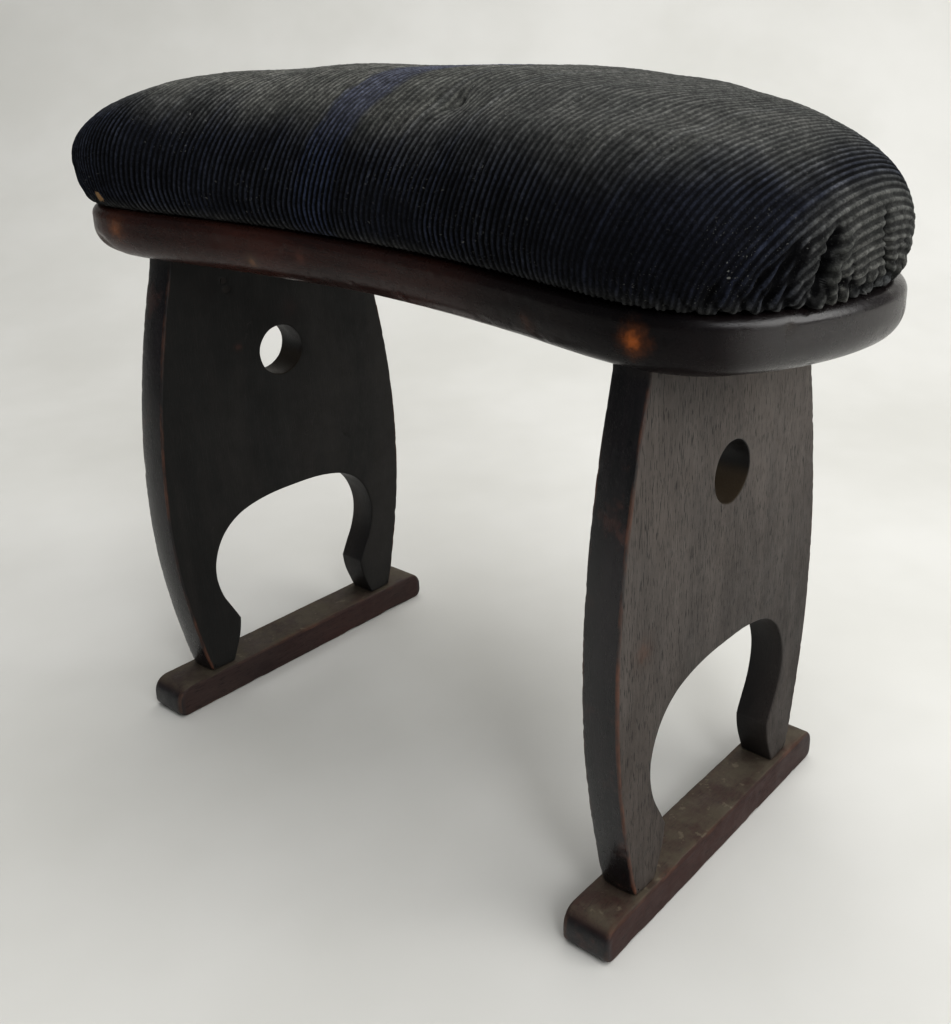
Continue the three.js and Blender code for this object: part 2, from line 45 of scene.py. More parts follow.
# --------------------------------------------------------------------------
# numbers shared with the CAD, in mm, before SHIFT_Y
LEG_X, LEG_T, SEAT_UNDER, SEAT_T = 164.4, 20.0, 281.2, 27.3
SEAT_TOP = SEAT_UNDER + SEAT_T
SEAT_LOW_R, SEAT_TOP_R = 15.0, 6.0
FOOT_W, FOOT_H, FOOT_L = 27.0, 18.8, 200.0
SEAT_RIM = [(0, -67.6), (50.2, -71.1), (102.2, -77.9), (151.3, -86.6), (199.6, -82.5), (225.3, -55.5), (241.1, -7.1),
            (238.7, 32.2), (220.3, 60.0), (187.1, 79.6), (146.1, 95.0), (99.1, 106.3), (48.9, 113.3), (0, 115.0)]
CUSH_HALF_L, CUSH_BACK_Y, CUSH_BACK_N, CUSH_BACK_E = 237.3, 115.0, 1.9, 6.7
CUSH_FRONT = [(0, -65.5), (50.5, -67.4), (102.8, -74.1), (151.6, -82.4), (198.8, -80.5), (223.4, -54.6), (236.7, -6.7)]
LEG_OUTER = [(73.2, 19.1), (75.6, 25.5), (78.9, 40.0), (81.7, 53.3), (84.1, 66.7), (86.1, 80.0), (87.7, 93.3), (88.8, 106.7),
             (89.4, 120.0), (89.6, 133.3), (89.4, 146.7), (88.8, 160.0), (87.8, 173.3), (86.4, 186.7), (84.7, 200.0), (82.6, 213.3),
             (80.2, 226.7), (77.5, 240.0), (74.5, 253.3), (71.1, 266.7), (67.5, 280.9)]
LEG_ARCH = [(0, 122.2), (9, 122.1), (18, 121.6), (26.7, 120.4), (34, 118.8), (40.5, 116.6), (46.5, 113.3), (51.7, 109.0),
            (56.0, 103.6), (59.3, 97.0), (61.4, 90.0), (62.1, 83.0), (61.5, 76.0), (59.8, 69.0), (57.2, 62.5), (54.0, 56.4), (49.1, 46.6)]
LEG_CLAW = [(49.1, 46.6), (49.9, 39.5), (52.1, 31.5), (54.6, 25.0), (57.0, 19.1)]
HOLE_Z, HOLE_R = 213.3, 15.5


# ------------------------------------------------------------------ numerics
def cubic_at(s, pts, u, periodic):
    """Cubic spline through pts at parameters s, evaluated at u."""
    s, pts = np.asarray(s, float), np.asarray(pts, float)
    n = len(pts)
    if periodic:
        h = np.diff(s)
        A = np.zeros((n, n))
        B = np.zeros((n, pts.shape[1]))
        for i in range(n):
            hm, hi = h[i - 1], h[i]
            A[i, i - 1] += hm; A[i, i] += 2 * (hm + hi); A[i, (i + 1) % n] += hi
            B[i] = 6 * ((pts[(i + 1) % n] - pts[i]) / hi - (pts[i] - pts[i - 1]) / hm)
        M = np.linalg.solve(A, B)
        M = np.vstack([M, M[:1]]); P = np.vstack([pts, pts[:1]])
    else:
        h = np.diff(s)
        A = np.eye(n)
        B = np.zeros((n, pts.shape[1]))
        for i in range(1, n - 1):
            A[i, i - 1], A[i, i], A[i, i + 1] = h[i - 1], 2 * (h[i - 1] + h[i]), h[i]
            B[i] = 6 * ((pts[i + 1] - pts[i]) / h[i] - (pts[i] - pts[i - 1]) / h[i - 1])
        M = np.linalg.solve(A, B); P = pts
    i = np.clip(np.searchsorted(s, u, side="right") - 1, 0, len(s) - 2)
    hi = (s[i + 1] - s[i])[:, None]
    t = (u - s[i])[:, None]
    return (M[i] * (hi - t) ** 3 / (6 * hi) + M[i + 1] * t ** 3 / (6 * hi)
            + (P[i] / hi - M[i] * hi / 6) * (hi - t) + (P[i + 1] / hi - M[i + 1] * hi / 6) * t)


def chord(pts, periodic):
    p = np.vstack([pts, pts[:1]]) if periodic else np.asarray(pts, float)
    return np.r_[0, np.cumsum(np.hypot(*np.diff(p, axis=0).T))]


def even(pts, count, periodic, dense=6000):
    """Evenly spaced points along a smooth curve through pts."""
    pts = np.asarray(pts, float)
    s = chord(pts, periodic)
    q = cubic_at(s, pts, np.linspace(0, s[-1], dense + 1) * (1 - 1e-12), periodic)
    d = np.r_[0, np.cumsum(np.hypot(*np.diff(q, axis=0).T))]
    u = np.linspace(0, d[-1], count + 1)
    out = np.stack([np.interp(u, d, q[:, k]) for k in range(2)], 1)
    return out[:-1] if periodic else out


def closed_outline(right, n):
    """Mirrors a right half (front centre to back centre), splines it, and returns even points with outward normals."""
    ctrl = list(right) + [(-x, y) for x, y in list(right)[1:-1][::-1]]
    p = even(ctrl, n, True)
    t = np.roll(p, -1, 0) - np.roll(p, 1, 0)
    nrm = np.stack([t[:, 1], -t[:, 0]], 1)
    return p, nrm / np.linalg.norm(nrm, axis=1)[:, None]


def cushion_outline(n):
    back = []
    for i in range(1, 8):
        a = i / 7 * math.pi / 2
        e = 2 / CUSH_BACK_N
        back.append((0.0 if i == 7 else CUSH_HALF_L * math.cos(a) ** e,
                     CUSH_BACK_E + (CUSH_BACK_Y - CUSH_BACK_E) * math.sin(a) ** e))
    return closed_outline(CUSH_FRONT + back, n)


def lattice(seed):
    return np.random.RandomState(seed).rand(64, 64, 64).astype(np.float32) * 2 - 1


_L = {}


def noise(p, size, seed=0):
    """Smooth value noise in -1..1 at points p (mm) with features of about size mm. size may be a triple."""
    if seed not in _L:
        _L[seed] = lattice(seed)
    L = _L[seed]
    q = np.asarray(p, float) / np.asarray(size, float)
    i = np.floor(q).astype(int)
    f = q - i
    f = f * f * f * (f * (f * 6 - 15) + 10)
    i &= 63
    j = (i + 1) & 63
    r = 0
    for a in (0, 1):
        for b in (0, 1):
            for c in (0, 1):
                w = (f[:, 0] if a else 1 - f[:, 0]) * (f[:, 1] if b else 1 - f[:, 1]) * (f[:, 2] if c else 1 - f[:, 2])
                r = r + w * L[(j if a else i)[:, 0], (j if b else i)[:, 1], (j if c else i)[:, 2]]
    return r


def smooth01(x):
    x = np.clip(x, 0, 1)
    return x * x * (3 - 2 * x)


# --------------------------------------------------------------- mesh making
def make_mesh(name, co_mm, faces_list, attrs=None, shift=True):
    """faces_list: arrays of quads (n,4) or triangles (n,3). co in mm."""
    co = np.asarray(co_mm, float).copy()
    if shift:
        co[:, 1] += SHIFT_Y
    co *= MM
    me = bpy.data.meshes.new(name)
    me.vertices.add(len(co))
    me.vertices.foreach_set("co", co.astype(np.float32).ravel())
    starts, totals, loops = [], [], []
    at = 0
    for f in faces_list:
        f = np.asarray(f, np.int32)
        if len(f) == 0:
            continue
        k = f.shape[1]
        starts.append(at + np.arange(len(f)) * k)
        totals.append(np.full(len(f), k))
        loops.append(f.ravel())
        at += f.size
    loops = np.concatenate(loops).astype(np.int32)
    starts = np.concatenate(starts).astype(np.int32)
    totals = np.concatenate(totals).astype(np.int32)
    me.loops.add(len(loops))
    me.loops.foreach_set("vertex_index", loops)
    me.polygons.add(len(starts))
    me.polygons.foreach_set("loop_start", starts)
    me.polygons.foreach_set("loop_total", totals)
    me.update(calc_edges=True)
    me.validate()
    me.polygons.foreach_set("use_smooth", np.ones(len(me.polygons), bool))
    for k, v in (attrs or {}).items():
        a = me.attributes.new(k, "FLOAT", "POINT")
        a.data.foreach_set("value", np.asarray(v, np.float32))
    ob = bpy.data.objects.new(name, me)
    bpy.context.scene.collection.objects.link(ob)
    return ob


def vertex_normals(co, faces_list):
    n = np.zeros_like(co)
    for f in faces_list:
        f = np.asarray(f)
        if len(f) == 0:
            continue
        if f.shape[1] == 4:
            m = np.cross(co[f[:, 2]] - co[f[:, 0]], co[f[:, 3]] - co[f[:, 1]])
        else:
            m = np.cross(co[f[:, 1]] - co[f[:, 0]], co[f[:, 2]] - co[f[:, 0]])
        for k in range(f.shape[1]):
            np.add.at(n, f[:, k], m)
    return n / np.maximum(np.linalg.norm(n, axis=1), 1e-12)[:, None]


def inset(p, d, weight=None):
    """Moves a closed anticlockwise outline inwards by d with mitred corners."""
    a, c = np.roll(p, 1, 0), np.roll(p, -1, 0)
    e1, e2 = p - a, c - p
    n1 = np.stack([-e1[:, 1], e1[:, 0]], 1) / np.linalg.norm(e1, axis=1)[:, None]
    n2 = np.stack([-e2[:, 1], e2[:, 0]], 1) / np.linalg.norm(e2, axis=1)[:, None]
    m = n1 + n2
    k = 2 / np.maximum((m * m).sum(1), 0.3)
    d = d if weight is None else (d * weight)[:, None]
    return p + m * k[:, None] * d


def area(p):
    x, y = p[:, 0], p[:, 1]
    return 0.5 * np.sum(x * np.roll(y, -1) - np.roll(x, -1) * y)


def inside(poly, pts):
    x, y = pts[:, 0], pts[:, 1]
    c = np.zeros(len(pts), bool)
    j = np.roll(poly, 1, 0)
    for (x1, y1), (x2, y2) in zip(poly, j):
        hit = ((y1 > y) != (y2 > y)) & (x < (x2 - x1) * (y - y1) / (y2 - y1 + 1e-30) + x1)
        c ^= hit
    return c


def edge_distance(poly, pts):
    d = np.full(len(pts), 1e9)
    for a, b in zip(poly, np.roll(poly, -1, 0)):
        e = b - a
        t = np.clip(((pts - a) @ e) / max(e @ e, 1e-12), 0, 1)
        d = np.minimum(d, np.hypot(*(pts - (a + t[:, None] * e)).T))
    return d


def cap(loops2d, step, close=()):
    """Fills the region inside loops2d[0] and outside the rest. Returns new inner points and triangles that index
    the loops' points in order, then the new points. Triangles are anticlockwise."""
    outer = loops2d[0]
    lo, hi = outer.min(0), outer.max(0)
    rows = np.arange(lo[1] + step / 2, hi[1], step * 0.87)
    g = []
    for r, y in enumerate(rows):
        xs = np.arange(lo[0] + (step / 2 if r % 2 else 0), hi[0], step)
        g.append(np.stack([xs, np.full(len(xs), y)], 1))
    g = np.concatenate(g)
    ok = inside(outer, g) & (edge_distance(outer[:: max(1, len(outer) // 400)], g) > step * 0.55)
    for h in loops2d[1:]:
        ok &= ~inside(h, g) & (edge_distance(h, g) > step * 0.55)
    g = g[ok]
    if len(close):                      # extra points where something small is cut into the face
        g = np.vstack([g, np.array(close)])
    pts = np.concatenate(loops2d + [g])
    edges, at = [], 0
    for l in loops2d:
        n = len(l)
        edges += [(at + i, at + (i + 1) % n) for i in range(n)]
        at += n
    res = delaunay_2d_cdt([Vector(p) for p in pts], edges, [], 0, 1e-7)
    vco = np.array([tuple(v) for v in res[0]])
    orig = res[3]
    tri = np.array([f for f in res[2] if len(f) == 3], int)
    # map output vertices back to input ones
    m = np.array([o[0] if o else -1 for o in orig])
    cen = vco[tri].mean(1)
    keep = inside(outer, cen)
    for h in loops2d[1:]:
        keep &= ~inside(h, cen)
    tri = tri[keep]
    tri = m[tri]
    tri = tri[(tri >= 0).all(1)]
    P = pts[tri]
    s = np.cross(P[:, 1] - P[:, 0], P[:, 2] - P[:, 0])
    tri[s < 0] = tri[s < 0][:, ::-1]
    return g, tri


class Body:
    """Collects rings and caps into one mesh."""

    def __init__(self):
        self.co, self.quads, self.tris, self.attr = [], [], [], {}
        self.n = 0

    def add(self, pts, **attrs):
        start = self.n
        pts = np.asarray(pts, float)
        self.co.append(pts)
        self.n += len(pts)
        for k, v in attrs.items():
            self.attr.setdefault(k, []).append((start, np.broadcast_to(np.asarray(v, float), (len(pts),))))
        return start

    def wall(self, a, b, n, flip=False):
        i = np.arange(n)
        k = (i + 1) % n
        q = np.stack([a + i, a + k, b + k, b + i], 1)
        self.quads.append(q[:, ::-1] if flip else q)

    def arrays(self):
        co = np.concatenate(self.co)
        faces = []
        if self.quads:
            faces.append(np.concatenate(self.quads))
        if self.tris:
            faces.append(np.concatenate(self.tris))
        attrs = {}
        for k, parts in self.attr.items():
            v = np.zeros(self.n)
            for s, x in parts:
                v[s:s + len(x)] = x
            attrs[k] = v
        return co, faces, attrs


def rounded(t, r, seg, mid, rim=1.0):
    """Ring stations across a thickness t with rounded arrises of radius r: (position, inset, arris 0..1, side 0..1)."""
    half = [(-t / 2, r + rim, 0.0, 0.0)]
    for i in range(seg + 1):
        a = (1 - i / seg) * math.pi / 2
        half.append((-t / 2 + r * (1 - math.sin(a)), r * (1 - math.cos(a)), 1.0 if 0 < i else 0.75, 0.0 if i == 0 else (1.0 if i == seg else 0.6)))
    half.append((-t / 2 + r + rim, 0.0, 0.0, 1.0))
    out = list(half)
    for i in range(1, mid + 1):
        out.append(((-t / 2 + r + rim) * (1 - 2 * i / (mid + 1)), 0.0, 0.0, 1.0))
    return out + [(-x, d, w, k) for x, d, w, k in half[::-1]]


# ------------------------------------------------------------------ the seat
def build_seat():
    p, nrm = closed_outline(SEAT_RIM, 800)
    b = Body()
    rb, rt = SEAT_LOW_R, SEAT_TOP_R
    st = [(SEAT_UNDER, rb + 2.0, 0.0), (SEAT_UNDER + 0.02, rb + 0.8, 0.0)]
    for i in range(17):
        a = i / 16 * math.pi / 2
        st.append((SEAT_UNDER + 0.05 + (rb - 0.05) * (1 - math.cos(a)), rb * (1 - math.sin(a)), 0.7 if 1 <= i <= 4 else 0.1))
    for i in range(1, 3):
        st.append((SEAT_UNDER + rb + (SEAT_T - rb - rt) * i / 3, 0.0, 0.05))
    for i in range(11):
        a = i / 10 * math.pi / 2
        st.append((SEAT_TOP - rt * (1 - math.sin(a)), rt * (1 - math.cos(a)), 0.25 if i > 3 else 0.1))
    st.append((SEAT_TOP, rt + 2.5, 0.1))
    rings = []
    for z, d, w in st:
        q = p - nrm * d
        rings.append((b.add(np.c_[q, np.full(len(q), z)], arris=w), q))
    for (a, _), (c, _) in zip(rings, rings[1:]):
        b.wall(a, c, len(p))
    for which, up in ((0, False), (-1, True)):
        start, q = rings[which]
        g, tri = cap([q], 7.0)
        gs = b.add(np.c_[g, np.full(len(g), st[which][0])], arris=0)
        m = np.r_[start + np.arange(len(q)), gs + np.arange(len(g))]
        t = m[tri]
        b.tris.append(t if up else t[:, ::-1])
    co, faces, attrs = b.arrays()
    n = vertex_normals(co, faces)
    edge = attrs["arris"]
    top = co[:, 2] > SEAT_TOP - 0.4
    under = co[:, 2] < SEAT_UNDER + 0.04
    d = 0.20 * noise(co, 60, 3) + 0.06 * noise(co, 14, 4)
    # small knocks round the edge
    band = (~top) & (~under)
    d -= band * 0.30 * smooth01((noise(co, (6, 6, 4), 5) - 0.62) / 0.25)
    d -= band * edge * 0.09 * smooth01((noise(co, (5, 5, 5), 6) - 0.35) / 0.4)
    hurt = np.zeros(len(co))
    for x, y, z, r, dep, raw in ((-186.5, -83.5, 286.8, 4.6, 1.9, 1.0), (-191.0, -83.8, 289.5, 3.4, 1.2, 0.9), (-182.0, -81.5, 284.0, 3.6, 1.1, 0.7),
                                 (170, -84.5, 300, 3.5, 0.4, 0.0), (120, -80, 301, 2.6, 0.3, 0.0), (228, -52, 303, 3.0, 0.4, 0.2), (-120, -80, 283.5, 4, 0.5, 0.4),
                                 (60, -70, 283.5, 3.0, 0.5, 0.4), (205, 70, 284, 6, 1.2, 0.8), (-150, 93, 300, 5, 0.6, 0.3), (-72.4, -72.6, 290.8, 4.0, 0.15, 0.45)):
        rr = np.linalg.norm(co - np.array([x, y, z]), axis=1) / r
        g = np.exp(-rr * rr)
        d -= dep * g * (1 + 0.5 * noise(co, 1.7, 7))
        hurt = np.maximum(hurt, raw * g)
    d[top] = np.minimum(d[top], 0) * 0.4
    d[under] = np.maximum(-0.3, d[under])
    co = co + n * d[:, None]
    co[:, 2] = np.clip(co[:, 2], SEAT_UNDER, SEAT_TOP)
    attrs["raw"] = hurt
    attrs["side"] = np.zeros(len(co))
    return make_mesh("seat_board_wood", co, faces, attrs)


# ------------------------------------------------------------ the end boards
def leg_loop():
    outer = even(LEG_OUTER, 175, False)
    arch = even(LEG_ARCH, 105, False)
    claw = even(LEG_CLAW, 19, False)
    top = np.stack([np.linspace(0, LEG_OUTER[-1][0], 45), np.full(45, LEG_OUTER[-1][1])], 1)
    foot = np.stack([np.linspace(LEG_CLAW[-1][0], LEG_OUTER[0][0], 12), np.full(12, LEG_OUTER[0][1])], 1)
    # right half from the crown of the arch, down the claw, across the foot, up the outer edge to the top centre
    half = np.vstack([arch[:-1], claw[:-1], foot[:-1], outer[:-1], top[::-1][:-1]])
    kind = np.r_[np.zeros(len(arch) - 1), np.zeros(len(claw) - 1), np.full(len(foot) - 1, 2), np.ones(len(outer) - 1), np.full(len(top) - 1, 3)]
    end = top[:1]
    loop = np.vstack([half, end, (half * [-1, 1])[1:][::-1]])
    kinds = np.r_[kind, [3], kind[1:][::-1]]
    if area(loop) < 0:
        loop, kinds = loop[::-1], kinds[::-1]
    return loop, kinds


def build_leg(side):
    sx = -1 if side == "left" else 1
    loop, kind = leg_loop()
    b = Body()
    st = rounded(LEG_T, 0.95, 5, 7, 1.1)
    k = np.ones(9) / 9
    wrap = lambda v: np.convolve(np.r_[v[-4:], v, v[:4]], k, "valid")
    outer = wrap((kind == 1).astype(float))
    claw = wrap(((kind == 0) & (loop[:, 1] < 46.0)).astype(float))
    arrs = []
    worn = outer * 0.75 + 0.25
    for x, d, w, sd in st:
        bow = 1.2 * (2 * x / LEG_T) ** 2 * outer
        q = inset(loop, 1.0, d + bow)
        arrs.append((b.add(np.c_[np.full(len(q), x), q], arris=w * worn, edge=outer, side=sd * (0.35 + 0.65 * outer), claw=claw * sd, raw=0), q))
    for (a, _), (c, _) in zip(arrs, arrs[1:]):
        b.wall(a, c, len(loop))
    t = np.linspace(0, 2 * math.pi, 121)[:-1]
    circ = np.stack([np.cos(t), np.sin(t)], 1)
    holes = []
    for x, d, w, sd in rounded(LEG_T, 0.5, 3, 7, 0.7):
        wob = 1 + 0.006 * np.sin(3 * t + 1.3) + 0.004 * np.sin(7 * t)
        q = circ * (HOLE_R * wob + d)[:, None] + [0, HOLE_Z]
        low = smooth01((-np.sin(t) - 0.05) / 0.5)
        holes.append((b.add(np.c_[np.full(len(q), x), q], arris=w * 0.35, edge=0, side=0.45 * sd, claw=0, raw=sd * low), q))
    for (a, _), (c, _) in zip(holes, holes[1:]):
        b.wall(a, c, len(circ), flip=True)
    for which, up in ((0, False), (-1, True)):
        s1, q1 = arrs[which]
        s2, q2 = holes[which]
        close = []
        if side == "left" and up:
            for y, z in ((-35.4, 262.8), (-33.6, 257.2)):
                close += [(y + r * math.cos(a), z + r * math.sin(a)) for r in (0.7, 1.4, 2.1, 2.8, 3.6) for a in np.arange(12) * math.pi / 6 + r]
            close += [(44 + 0.77 * u - 0.64 * v, 143.5 - 0.64 * u - 0.77 * v) for u in np.arange(-6, 6.1, 1.5) for v in (-1.8, -0.9, 0, 0.9, 1.8)]
        g, tri = cap([q1, q2], 3.6, close)
        gs = b.add(np.c_[np.full(len(g), st[which][0]), g], arris=0, edge=0, side=0, claw=0, raw=0)
        m = np.r_[s1 + np.arange(len(q1)), s2 + np.arange(len(q2)), gs + np.arange(len(g))]
        tt = m[tri]
        b.tris.append(tt if up else tt[:, ::-1])
    co, faces, attrs = b.arrays()
    n = vertex_normals(co, faces)
    # inner faces and the hand hole's wall: mask for the painted shade in the end board material
    attrs["inner"] = smooth01(0.5 - sx * co[:, 0] / (LEG_T - 2))
    attrs["inner"] = np.maximum(attrs["inner"], np.hypot(co[:, 1], co[:, 2] - HOLE_Z) < HOLE_R + 0.35)
    off = np.array([sx * 500.0, 0, 0])
    ar = np.clip(attrs["arris"], 0, 1)
    ed = attrs["edge"]
    d = (1 - ed) * 0.11 * noise(co + off, (30, 26, 80), 11) + (1 - ed) * 0.05 * noise(co + off, (9, 7, 30), 12)
    d += ed * 0.10 * noise(co + off, (20, 25, 55), 15)
    # nicks on the arrises: many fine ones and a few larger
    d -= ar * 0.28 * smooth01((noise(co + off, (4, 4, 6), 13) - 0.42) / 0.4)
    d -= ar * 0.16 * smooth01((noise(co + off, (2, 2, 2.6), 14) - 0.0) / 0.6)
    d -= ar * ed * 0.32 * smooth01((noise(co + off, (7, 7, 9), 16) - 0.62) / 0.25)
    if side == "left":              # sunk stopping over the screw on the inner face
        for y, z, r, dep in ((-35.4, 262.8, 2.2, 0.8), (-33.6, 257.2, 2.2, 0.9)):
            rr = np.hypot((co[:, 1] - y) / r, (co[:, 2] - z) / (r * 0.8))
            d -= dep * np.exp(-rr * rr) * (co[:, 0] > LEG_T / 2 - 0.5)
        rr = np.abs((co[:, 1] - 44) * 0.64 + (co[:, 2] - 143.5) * 0.77)      # a short gouge
        along = np.abs((co[:, 1] - 44) * 0.77 - (co[:, 2] - 143.5) * 0.64)
        d -= 0.45 * np.exp(-(rr / 0.9) ** 2 - (along / 4.5) ** 4) * (co[:, 0] > LEG_T / 2 - 0.5)
    co = co + n * d[:, None]
    co[:, 2] = np.clip(co[:, 2], 18.9, SEAT_UNDER - 0.3)
    co[:, 0] += sx * LEG_X
    return make_mesh(f"end_board_{side}_wood", co, faces, attrs)


# ------------------------------------------------------------------ the feet
def build_foot(side):
    sx = -1 if side == "left" else 1
    b = Body()

    def ins(z, rb, rt):
        out = 0.0
        if z < rb:
            out = rb - math.sqrt(max(rb * rb - (rb - z) ** 2, 0))
        if z > FOOT_H - rt:
            out = rt - math.sqrt(max(rt * rt - (z - FOOT_H + rt) ** 2, 0))
        return out

    zs = sorted(set([0.0, 0.12, 0.35, 0.7, 1.1, 1.7, 2.4, 3.2, 4.2, 5.4, 7.3, 9.3, 11, 12.5, 13.8, 14.9, 15.8, 16.5, 17.1, 17.6, 18.0, 18.3, 18.55, 18.72, 18.8]))
    rings = []
    for z in zs:
        hy = FOOT_L / 2 - ins(z, 5.2, 9.5)
        hx = FOOT_W / 2 - ins(z, 1.5, 1.7)
        rc = 2.2
        q = []
        for cx, cy, a0 in ((hx - rc, -hy + rc, -90), (hx - rc, hy - rc, 0), (-hx + rc, hy - rc, 90), (-hx + rc, -hy + rc, 180)):
            arc = [(cx + rc * math.cos(math.radians(a0 + 90 * i / 6)), cy + rc * math.sin(math.radians(a0 + 90 * i / 6))) for i in range(7)]
            q += arc
            last = arc[-1]
            if a0 == -90:
                nxt, m = (hx, hy - rc), 90
            elif a0 == 0:
                nxt, m = (-hx + rc, hy), 12
            elif a0 == 90:
                nxt, m = (-hx, -hy + rc), 90
            else:
                nxt, m = (hx - rc, -hy), 12
            q += [(last[0] + (nxt[0] - last[0]) * i / m, last[1] + (nxt[1] - last[1]) * i / m) for i in range(1, m)]
        q = np.array(q)
        w = 1.0 if (z < 1.2 or z > FOOT_H - 1.9) else 0.15
        long_side = (np.abs(q[:, 1]) < hy - rc * 0.7)
        corner = (~long_side) & (np.abs(q[:, 0]) > hx - rc * 1.1)
        ww = np.where(long_side, w, np.where(corner, 1.0, 0.25))
        rings.append((b.add(np.c_[q, np.full(len(q), z)], arris=ww), q, z))
    for (a, q, _), (c, _, _) in zip(rings, rings[1:]):
        b.wall(a, c, len(q))
    # top
    s, q, z = rings[-1]
    g, tri = cap([q], 4.0)
    gs = b.add(np.c_[g, np.full(len(g), z)], arris=0)
    b.tris.append(np.r_[s + np.arange(len(q)), gs + np.arange(len(g))][tri])
    # underside, with the countersinks
    s, q, z = rings[0]
    t = np.linspace(0, 2 * math.pi, 41)[:-1]
    sinks = []
    for yy in (-65.4, 65.4):
        circ = np.stack([np.cos(t), np.sin(t)], 1)
        steps = [(5.0, 0.0), (5.0, 1.4), (2.55, 4.0), (2.55, 9.0)]
        st = [b.add(np.c_[circ * r + [0, yy], np.full(len(t), h)], arris=0.1) for r, h in steps]
        for a, c in zip(st, st[1:]):
            b.wall(a, c, len(t), flip=True)
        mid = b.add([[0, yy, 9.0]], arris=0)
        i = np.arange(len(t))
        b.tris.append(np.stack([st[-1] + (i + 1) % len(t), st[-1] + i, np.full(len(t), mid)], 1)[:, ::-1])
        sinks.append((st[0], circ * 5.0 + [0, yy]))
    g, tri = cap([q] + [c for _, c in sinks], 5.0)
    gs = b.add(np.c_[g, np.zeros(len(g))], arris=0)
    m = np.concatenate([s + np.arange(len(q))] + [a + np.arange(len(c)) for a, c in sinks] + [gs + np.arange(len(g))])
    b.tris.append(m[tri][:, ::-1])
    co, faces, attrs = b.arrays()
    n = vertex_normals(co, faces)
    off = np.array([0, 0, sx * 300.0])
    d = 0.12 * noise(co + off, (18, 60, 18), 21) + 0.05 * noise(co + off, (6, 14, 6), 22)
    ar = np.clip(attrs["arris"], 0, 1)
    kk = noise(co + off, (5, 11, 5), 23)
    d -= ar * 0.45 * smooth01((kk - 0.35) / 0.45)
    d -= ar * 0.12 * smooth01(noise(co + off, (2, 3, 2), 24) / 0.6)
    co = co + n * d[:, None]
    co[:, 2] = np.clip(co[:, 2], 0, FOOT_H + 0.05)
    attrs["raw"] = np.zeros(len(co))
    attrs["side"] = np.clip((np.abs(co[:, 1]) - (FOOT_L / 2 - 4)) / 3, 0, 1)
    co[:, 0] += sx * LEG_X
    return make_mesh(f"foot_{side}_wood", co, faces, attrs)


# --------------------------------------------------------------- the cushion
CZ0 = SEAT_TOP + 0.3
C_OVER, C_WAIST, C_BULGE, C_RISE, C_FULL, C_FALL, C_LEAN, C_RIDGE = 8.6, 3.0, 23.0, 56.6, 3.6, 0.26, 0.08, 0.34
WALE = 3.78


def wale_at(ph):
    """Wale number (not rounded) at cloth coordinate ph in mm: the cloth is pulled a little wider in places."""
    return (ph + 2.2 * np.sin(ph / 47.0 + 0.6) + 0.9 * np.sin(ph / 13.0 + 2.0)) / WALE


def dome_tables(ns=1200, kd=90, kf=40):
    """The plain cushion surface: 3D points P[s, k] on meridians from the ridge (k=0) to the tucked hem (k=-1)."""
    p, nrm = cushion_outline(ns)
    o = p + nrm * C_OVER
    X0 = CUSH_HALF_L + C_OVER
    mx = o[:, 0] * C_RIDGE
    midY = (CUSH_FRONT[0][1] + CUSH_BACK_Y) / 2
    my = midY * (1 - (mx / 164) ** 2)
    med = np.stack([mx, my], 1)
    zc = CZ0 + C_BULGE
    P = []
    horiz = []
    full = np.linalg.norm(o - med, axis=1)
    for k in np.linspace(1, 0, kd):
        q = 1 - math.cos(k * math.pi / 2)
        Q = o * (1 - q) + med * q
        H = C_RISE * (1 - C_FALL * (Q[:, 0] / X0) ** 2 + C_LEAN * Q[:, 0] / X0)
        P.append(np.c_[Q, zc + H * math.sqrt(max(1 - (1 - q) ** C_FULL, 0))])
        horiz.append(full * (1 - q))
    for j in range(1, kf + 1):
        a = -j / kf * math.pi / 2
        d = -C_WAIST + (C_OVER + C_WAIST) * math.cos(a)
        Q = p + nrm * d
        P.append(np.c_[Q, np.full(ns, zc + C_BULGE * math.sin(a))])
        horiz.append(full)
    P = np.stack(P, 1)
    horiz = np.stack(horiz, 1)
    step = np.linalg.norm(np.diff(P, axis=1), axis=2)
    ell = np.concatenate([np.zeros((ns, 1)), np.cumsum(step, 1)], 1)
    # even spacing along each meridian
    K = 200
    lam = np.linspace(0, 1, K)
    out = np.zeros((ns, K, 3)); hz = np.zeros((ns, K)); L = ell[:, -1]
    for i in range(ns):
        u = lam * L[i]
        for c in range(3):
            out[i, :, c] = np.interp(u, ell[i], P[i, :, c])
        hz[i] = np.interp(u, ell[i], horiz[i])
    return p, nrm, out, hz, L


